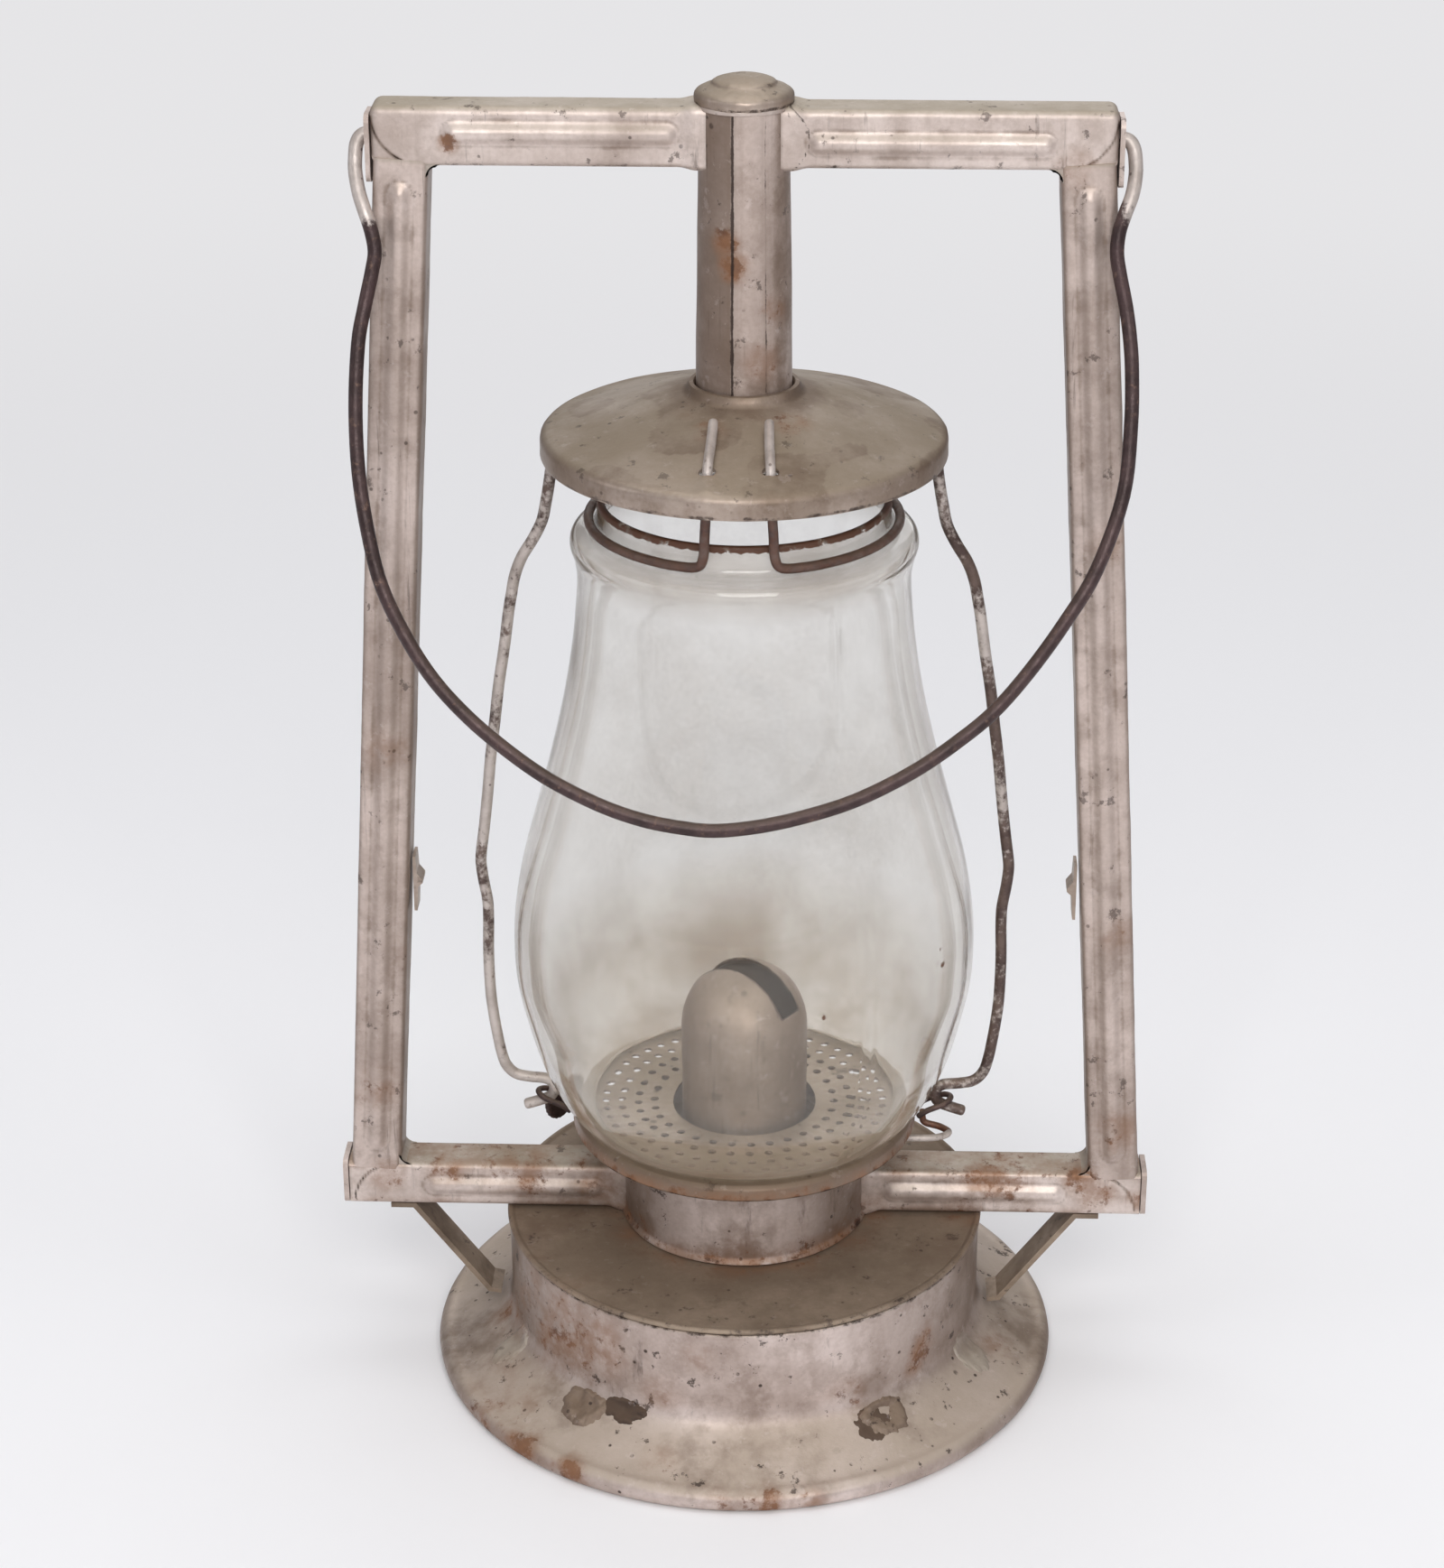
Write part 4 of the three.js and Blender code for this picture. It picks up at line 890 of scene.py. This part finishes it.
ring = staple(1, -1) + down(1, -1) + [(10.4, -38.6, 244.6)]
for i in range(41):
    t = math.radians(-90 + 24 + 312 * i / 40)
    ring.append((39.5 * math.cos(t), 39.5 * math.sin(t), 244))
ring += [(-10.4, -38.6, 244.6)] + list(reversed(down(-1, -1))) + list(reversed(staple(-1, -1)))
V, F, _ = sweep_mesh(ring, 1.25, 14, 4)
piece("globe_ring_wire", V, outward(V, F), iron_painted, replaces="globe_ring", sharp=60, worn=False,
      attrs={"bare": lambda c: np.where(c[:, 2] > 264, 0.2, 0.95), "rust": lambda c: np.where(c[:, 2] < 262, 0.3, 0.15)})
rear = staple(1, 1) + [(7.8, 40.7, 260), (7.6, 40.6, 252), (6.4, 40.5, 248.2), (3.5, 40.5, 247.0), (-3.5, 40.5, 247.0), (-6.4, 40.5, 248.2), (-7.6, 40.6, 252), (-7.8, 40.7, 260)] + list(reversed(staple(-1, 1)))
V, F, _ = sweep_mesh(rear, 1.25, 14, 6)
piece("ring_hanger_rear_wire", V, outward(V, F), iron_painted, replaces="ring_hanger_rear", sharp=60, worn=False,
      attrs={"bare": lambda c: np.where(c[:, 2] > 264, 0.35, 0.95), "rust": lambda c: np.full(len(c), 0.3)})

guard = [[48.5, 264.9], [48.6, 258], [49.4, 252], [50.3, 247], [51.4, 242], [53.8, 237], [56.8, 232], [58.7, 227], [59.7, 222], [60.6, 217], [62, 207],
         [63.7, 196.7], [65, 186.6], [66.4, 176.2], [67.5, 165.8], [68.8, 155], [69.7, 148.5], [69.9, 145], [69.4, 140], [68.5, 134], [68.4, 128.5], [68.7, 118],
         [68.5, 107], [67.9, 100], [67.1, 94], [66.2, 88.5], [64.9, 84], [62.3, 81.2], [58.5, 80.3], [54.5, 79.9], [52.5, 78.7], [51.9, 76.6], [53.0, 74.4], [56, 73.0], [60.2, 71.6]]
for s, side in ((1, "right"), (-1, "left")):
    V, F, _ = sweep_mesh([(s * x, 0, z) for x, z in guard], 1.5, 16, 5)
    amt = 0.58 if s > 0 else 0.3
    piece(f"guard_wire_{side}_bent", V, outward(V, F), iron_painted, replaces=f"guard_wire_{side}", sharp=60, worn=False,
          attrs={"bare": lambda c, amt=amt: np.clip(amt + 0.45 * np.array([noise.noise(Vector((3.1 + s, 0.2, z * 0.045))) for z in c[:, 2]]), 0, 1)})
    loop = [(47.2, 3.2, 71.4), (50, 3.2, 73.4), (54.4, 2.7, 75.2), (56.3, 0, 75.9), (54.4, -2.7, 75.2), (50, -3.2, 73.4), (47.2, -3.2, 71.4)]
    V, F, _ = sweep_mesh([(s * x, y, z) for x, y, z in loop], 0.8, 12, 6)
    piece(f"plate_loop_{side}_wire", V, outward(V, F), iron, replaces=f"plate_loop_{side}", sharp=60, worn=False)
V, F, _ = sweep_mesh([(40, -8.6, 68.1), (46, -8.2, 67.7), (52.5, -7.2, 67.4), (55.8, -4.4, 67.3), (53.6, -1.5, 67.4), (49.6, -0.7, 68.2), (48.7, -0.5, 69.8), (48.8, -0.5, 72.2)], 0.95, 14, 7)
piece("latch_loop_wire", V, outward(V, F), iron_painted, replaces="latch_loop", sharp=60, worn=False,
      attrs={"bare": lambda c: np.where(c[:, 1] > -4.4, 0.9, 0.3), "rust": lambda c: np.where(c[:, 1] > -4.4, 0.8, 0.1)})

# bail
tilt = math.radians(20.2)
bp = [[-84.5, 0], [-89, 0], [-91.6, 0], [-93.2, 0.7], [-94.2, 2.6], [-94.5, 5.5], [-94.4, 9.4, 0.4], [-93.4, 14.5, 1.2], [-91.9, 19.0, 1.6], [-90.4, 23.5, 1.4], [-89.5, 28.5, 1.0],
      [-90.2, 33.3, 0.6], [-92.1, 42.1], [-93.6, 50.8], [-94.2, 66], [-93.4, 82], [-91.0, 97], [-87.6, 110], [-81.5, 122.5], [-74.5, 133], [-66, 142], [-57.1, 149.4], [-48.1, 155.7], [-39.2, 160.5],
      [-30.3, 164.3], [-21.5, 166.9], [-12.6, 168.4], [-6.4, 168.9], [0.7, 168.4], [9.5, 166.9], [18.4, 164.6], [27.2, 161.7], [35.9, 157.7], [44.7, 152.7], [53.4, 146.5], [62.1, 139.2], [70.7, 129.2],
      [79.3, 117], [86.8, 104.2], [93.0, 86], [94.6, 69], [94.6, 56], [94.0, 48], [92.9, 40.4], [91.2, 32.5, 0.6], [90.4, 27.5, 1.0], [90.8, 22.6, 1.4], [92.2, 18.0, 1.6], [93.8, 13.6, 1.2],
      [94.6, 9.0, 0.4], [94.6, 5.5], [94.2, 2.6], [93.2, 0.7], [91.6, 0], [89, 0], [84.5, 0]]
path = []
for p in bp:
    x, q = p[0], p[1]
    nn = p[2] if len(p) > 2 else 0.0
    path.append((x, -q * math.sin(tilt) - nn * math.cos(tilt), 341.6 - q * math.cos(tilt) + nn * math.sin(tilt)))
V, F, _ = sweep_mesh(path, 1.75, 18, 5)


def bail_bare(c):
    z = c[:, 2]
    left = 1 - sstep(319, 325, z)
    rightz = 1 - sstep(316, 332, z)
    outer = sstep(-0.2, 0.6, (np.abs(c[:, 0]) - 91.5) / 2.0)
    right = np.clip(rightz + 0.35 * (1 - outer), 0, 1)
    return np.clip(np.where(c[:, 0] < 0, left, right) * 0.85 + 0.08, 0, 0.96)


piece("bail_wire_bent", V, outward(V, F), bail_mat, replaces="bail", sharp=60, worn=False, attrs={"bare": bail_bare})

# ------------------------------------------------------------------ globe
gp = [(42.2, 75.0), (46.0, 76.4), (49.3, 80), (52.7, 86), (55.9, 94), (58.6, 104), (60.8, 115), (61.2, 125), (60.6, 135), (58.4, 148), (54.8, 162), (50.6, 178), (46.7, 195), (44.2, 210), (43.0, 222),
      (42.7, 229), (43.4, 234), (44.4, 237.6), (43.6, 240.2), (40.6, 241.7), (38.0, 242.6), (37.4, 244.5), (37.3, 249)]
outer = [tuple(p) for p in catmull(gp, 5)]
inner = []
for i, (r, z) in enumerate(outer):
    a, b = outer[max(i - 1, 0)], outer[min(i + 1, len(outer) - 1)]
    tx, tz = b[0] - a[0], b[1] - a[1]
    l = math.hypot(tx, tz)
    w = 1.9 if z < 238 else 1.9
    inner.append((r - w * tz / l, z + w * tx / l))
inner = [p for p in inner if 77.2 < p[1] < 248.5 and p[0] > 35.2]
prof = outer + [(36.9, 249.35), (35.9, 249.3), (35.5, 248.8)] + list(reversed(inner)) + [(41.0, 76.0), (41.4, 75.2)]


def glass_wave(r, z, a):
    x, y = r * math.cos(a), r * math.sin(a)
    seam = 0.0
    for s0 in (math.radians(-90 + 33), math.radians(-90 + 213)):
        d = ((a - s0 + math.pi) % (2 * math.pi)) - math.pi
        seam += 0.16 * math.exp(-(d * r / 0.7) ** 2)
    return (noise.noise(Vector((x * 0.02, y * 0.02, z * 0.018))) * 0.22 + (seam if r > 38 else 0), 0)


V, F = lathe_mesh(prof, 240, bumps=glass_wave)


# dust film towards the top; low on the globe a painted reflection of the plate; at the front left and right, painted
# shade on the edges
def glass_haze_and_painted_reflection(c):
    a = np.degrees(np.arctan2(c[:, 1], c[:, 0])) + 90
    low = np.where(c[:, 1] > 4, 0.95 * (1 - sstep(84, 132, c[:, 2])), 0.6 * (1 - sstep(78, 100, c[:, 2])))
    top = 0.55 * sstep(226, 242, c[:, 2])
    left = 0.35 * sstep(-40, -80, a) * (c[:, 1] < 12)
    right = 0.28 * sstep(45, 85, a) * (c[:, 1] < 12)
    return np.clip(np.maximum(np.maximum(low, top), np.maximum(left, right)), 0, 1)


GMARK = [(22.5, -56.8, 131, 1.5, 1.2), (22.5, -56.8, 131, 3.6, 0.5), (51.5, -31, 138, 3.0, 0.8), (52, -31, 133, 2.6, 0.8), (52.5, -30, 127, 2.4, 0.7), (-42, -44, 116, 1.2, 0.8), (30, -28, 240, 3, 0.5), (-28, -31, 239, 3, 0.45)]
GRIM = lambda c: np.maximum(0.85 * sstep(246.6, 248.2, c[:, 2]), 0.35 * (1 - sstep(0.5, 2.6, np.abs(c[:, 2] - 242.6))))
piece("globe_blown_glass", V, outward(V, F), glass, replaces="globe", sharp=50, worn=False,
      attrs={"haze_and_reflection": glass_haze_and_painted_reflection, "mark": lambda c: np.maximum(field(c, GMARK), GRIM(c))})

# perforated plate
pp = soften([(19.4, 74.5), (30, 74.5), (41, 74.5), (45.2, 74.3), (46.2, 73.3), (46.7, 70.6), (46.3, 70.0), (45.9, 70.6), (45.5, 72.9), (44.8, 73.6), (41, 73.8), (30, 73.8), (19.4, 73.8)], 0.3)
V, F = lathe_mesh(pp, 160)
holes = []
for r, n, ph in ((24.5, 30, 0), (29.0, 36, 0.08), (33.5, 42, 0.02), (38.0, 48, 0.05)):
    for k in range(n):
        a = 2 * math.pi * k / n + ph
        holes.append(lathe_mesh([(1.15, 72.5), (1.15, 76), (0, 76), (0, 72.5)], 8, centre=(r * math.cos(a), r * math.sin(a))))
hv, hf = join(*[(v, outward(v, f)) for v, f in holes])
V, F = cut((V, outward(V, F)), (hv, hf))
piece("globe_plate_perforated", V, F, tin_dusty, replaces="globe_plate", sharp=40,
      attrs={"rust": lambda c: 0.6 * (1 - sstep(0.5, 3.5, np.abs(c[:, 2] - 71))), "stain_and_shade": lambda c: 1.0 * sstep(42.5, 45.0, np.hypot(c[:, 0], c[:, 1])), "edge": lambda c: 0.6 * (1 - sstep(0.1, 0.9, np.abs(c[:, 2] - 70.3)))})

# ------------------------------------------------------------------ torn loop feet and solder on the base
def foot(name, a0, half_len, height, power, mat, seed, node=None, lo=0.0, hi=1.0, hollow=0.0):
    """A torn solder tongue lying in the corner between wall and flare, at angle a0 (degrees from the front)."""
    line = catmull([(64.9, 17.6), (65.2, 15.4), (66.4, 13.3), (69.0, 11.3), (73.0, 9.2), (76.5, 7.6)], 8)
    V, F = [], []
    nu, nv = 56, 26
    pts = {}
    for i in range(nu + 1):
        u = -1 + 2 * i / nu
        for j in range(nv + 1):
            v = j / nv
            t = lo + (hi - lo) * v
            k = t * (len(line) - 1)
            i0 = min(int(k), len(line) - 2)
            p = line[i0] * (1 - (k - i0)) + line[i0 + 1] * (k - i0)
            d = line[i0 + 1] - line[i0]
            d = d / np.linalg.norm(d)
            nrm = np.array([-d[1], d[0]])
            if nrm[1] < 0 and nrm[0] < 0:
                nrm = -nrm
            w = 2 * v - 1
            jag = 0.16 * noise.noise(Vector((u * 3 + seed, w * 3, seed))) + 0.1 * noise.noise(Vector((u * 9 + seed, w * 7, seed)))
            q = (abs(u) ** power + abs(w) ** 2.2) ** 0.5 + jag
            env = 1 - float(sstep(0.62, 0.98, q))
            h = -0.45 + env * (0.45 + height * (0.75 + 0.5 * noise.noise(Vector((u * 2.5 + seed, w * 2, 4.0)))))
            h -= hollow * (1 - float(sstep(0.0, 0.6, q))) * height
            ang_ = math.radians(-90 + a0) + u * half_len / 68.0
            r, z = p[0] + nrm[0] * h, p[1] + nrm[1] * h
            V.append((r * math.cos(ang_), r * math.sin(ang_), z))
    for i in range(nu):
        for j in range(nv):
            a = i * (nv + 1) + j
            F.append((a, a + 1, a + nv + 2, a + nv + 1))
    k = len(V)
    for (x, y, z) in list(V):
        d = math.hypot(x, y)
        V.append((x * (d - 0.7) / d, y * (d - 0.7) / d, z - 0.5))
    F += [tuple(reversed([i + k for i in f])) for f in F]
    ring_ = [j for j in range(nv + 1)] + [i * (nv + 1) + nv for i in range(1, nu + 1)] + [nu * (nv + 1) + j for j in range(nv - 1, -1, -1)] + [i * (nv + 1) for i in range(nu - 1, 0, -1)]
    for q in range(len(ring_)):
        a, b = ring_[q], ring_[(q + 1) % len(ring_)]
        F.append((b, a, a + k, b + k))
    return piece(name, V, outward(V, F), mat, body="frame", replaces=[node] if node else (), sharp=60,
                 attrs={"edge": lambda c: np.full(len(c), 0.3)})


foot("loop_foot_left_torn", -36.5, 8.0, 1.3, 2.2, solder_dark, 1.3, "loop_foot_left", 0.22, 0.86, 0.5)
foot("loop_foot_left_ragged", -27.0, 9.0, 0.6, 1.4, torn, 5.3, None, 0.12, 0.66, 0.2)
foot("loop_foot_right_torn", 34.5, 8.2, 1.1, 2.0, solder_dark, 3.3, "loop_foot_right", 0.22, 0.9, 0.8)
foot("loop_foot_right_rim", 31.0, 6.4, 0.4, 1.6, torn, 8.3, None, 0.3, 0.95, 0.0)
foot("brace_solder_left", -66.0, 5.5, 0.5, 2.0, solder, 11.3, None, 0.0, 0.95, 0.0)
foot("brace_solder_right", 66.0, 6.5, 0.5, 2.0, solder, 14.3, None, 0.0, 0.95, 0.0)

# ------------------------------------------------------------------ carried-over CAD nodes
for n, mat in {"fount_bottom": tin_fount, "filler_neck": tin_dusty, "filler_gasket": cork, "burner_deck": tin_dusty, "burner_base": brass, "wick_tube": brass, "wick": cotton, "wick_wheel_left": brass,
               "wick_wheel_right": brass, "wick_shaft": iron, "bail_ear_left": tin, "bail_ear_right": tin, "tube_end_plate_left": tin_side, "tube_end_plate_right": tin_side, "brace_left": tin_top_dust_and_shade,
               "brace_right": tin_top_dust_and_shade, "guide_clip_left": tin_dusty, "guide_clip_right": tin_dusty}.items():
    ob = NODES[n]
    ob.data.materials.clear()
    ob.data.materials.append(mat)

# ------------------------------------------------------------------ stage, light and camera
fv, ff = [(0.0, 0.0, -0.0003)], []
rings = [0.15, 0.4, 0.8, 1.4, 2.4, 4.0, 7.0, 12.0, 30.0]
for r in rings:
    for k in range(48):
        fv.append((r * math.cos(2 * math.pi * k / 48), r * math.sin(2 * math.pi * k / 48), -0.0003))
for k in range(48):
    ff.append((0, 1 + k, 1 + (k + 1) % 48))
    for i in range(len(rings) - 1):
        ff.append((1 + i * 48 + k, 1 + (i + 1) * 48 + k, 1 + (i + 1) * 48 + (k + 1) % 48, 1 + i * 48 + (k + 1) % 48))
me = bpy.data.meshes.new("floor")
me.from_pydata(fv, [], ff)
floor = bpy.data.objects.new("floor", me)
COLL.objects.link(floor)
PALE = (0.79, 0.785, 0.80, 1)
t = Tree("pale_floor")
p = t.add("ShaderNodeBsdfPrincipled", {"Base Color": (0.90, 0.895, 0.905, 1), "Roughness": 0.9, "Specular IOR Level": 0.1})
e = t.add("ShaderNodeEmission", {"Color": PALE, "Strength": 1.0})
lp = t.add("ShaderNodeLightPath")
far = t.step(t.add("ShaderNodeVectorMath", {0: t.pos}, operation="LENGTH").outputs["Value"], 0.35, 1.3)
seen = t.m2("MAXIMUM", lp.outputs["Is Camera Ray"], lp.outputs["Is Transmission Ray"])
mx = t.add("ShaderNodeMixShader", {0: t.m2("MULTIPLY", far, seen), 1: p.outputs[0], 2: e.outputs[0]})
me.materials.append(t.out(mx.outputs[0]))

world = bpy.data.worlds.new("soft_world")
bpy.context.scene.world = world
world.use_nodes = True
wt = world.node_tree
wt.nodes.clear()
b0 = wt.nodes.new("ShaderNodeBackground")
b0.inputs[0].default_value = (0.93, 0.94, 1.0, 1)
b0.inputs[1].default_value = 0.24
b1 = wt.nodes.new("ShaderNodeBackground")
b1.inputs[0].default_value = PALE
wl = wt.nodes.new("ShaderNodeLightPath")
wm = wt.nodes.new("ShaderNodeMath")
wm.operation = "MAXIMUM"
ws_ = wt.nodes.new("ShaderNodeMixShader")
wo = wt.nodes.new("ShaderNodeOutputWorld")
wt.links.new(wl.outputs["Is Camera Ray"], wm.inputs[0])
wt.links.new(wl.outputs["Is Transmission Ray"], wm.inputs[1])
wt.links.new(wm.outputs[0], ws_.inputs[0])
wt.links.new(b0.outputs[0], ws_.inputs[1])
wt.links.new(b1.outputs[0], ws_.inputs[2])
wt.links.new(ws_.outputs[0], wo.inputs[0])


def area(name, loc, target, size, power, color=(1, 1, 1), size_y=None):
    l = bpy.data.lights.new(name, "AREA")
    l.energy = power
    l.size = size
    if size_y:
        l.shape = "RECTANGLE"
        l.size_y = size_y
    l.color = color
    o = bpy.data.objects.new(name, l)
    COLL.objects.link(o)
    o.location = loc
    o.rotation_euler = (Vector(target) - Vector(loc)).to_track_quat("-Z", "Y").to_euler()
    return o


area("key_front", (0.12, -1.5, 1.15), (0, 0, 0.15), 1.1, 18.5, (1.0, 0.985, 0.97))
area("top_soft", (0.0, 0.1, 1.7), (0, 0, 0.1), 1.5, 13.5, (0.97, 0.98, 1.0))
area("left_soft", (-1.6, -0.4, 0.9), (0, 0, 0.15), 0.9, 3, (0.97, 0.98, 1.0))
area("right_soft", (1.6, -0.5, 0.9), (0, 0, 0.15), 0.9, 2.6, (1.0, 0.98, 0.96))
area("rear_soft", (0.0, 1.5, 1.0), (0, 0, 0.2), 1.2, 4.0)

cam = bpy.data.cameras.new("camera")
cam.sensor_width = 36
cam.sensor_fit = "AUTO"
cam.lens = 79.6
cam.shift_x = -0.0144
cam.shift_y = -0.0351
cam.clip_start = 0.05
cam.clip_end = 20
co = bpy.data.objects.new("camera", cam)
COLL.objects.link(co)
co.location = (0.0258, -0.8251, 0.5491)
co.rotation_euler = Vector((-0.0285, 0.9144, -0.4038)).to_track_quat("-Z", "Y").to_euler()
bpy.context.scene.camera = co
bpy.context.scene.view_settings.view_transform = "Standard"
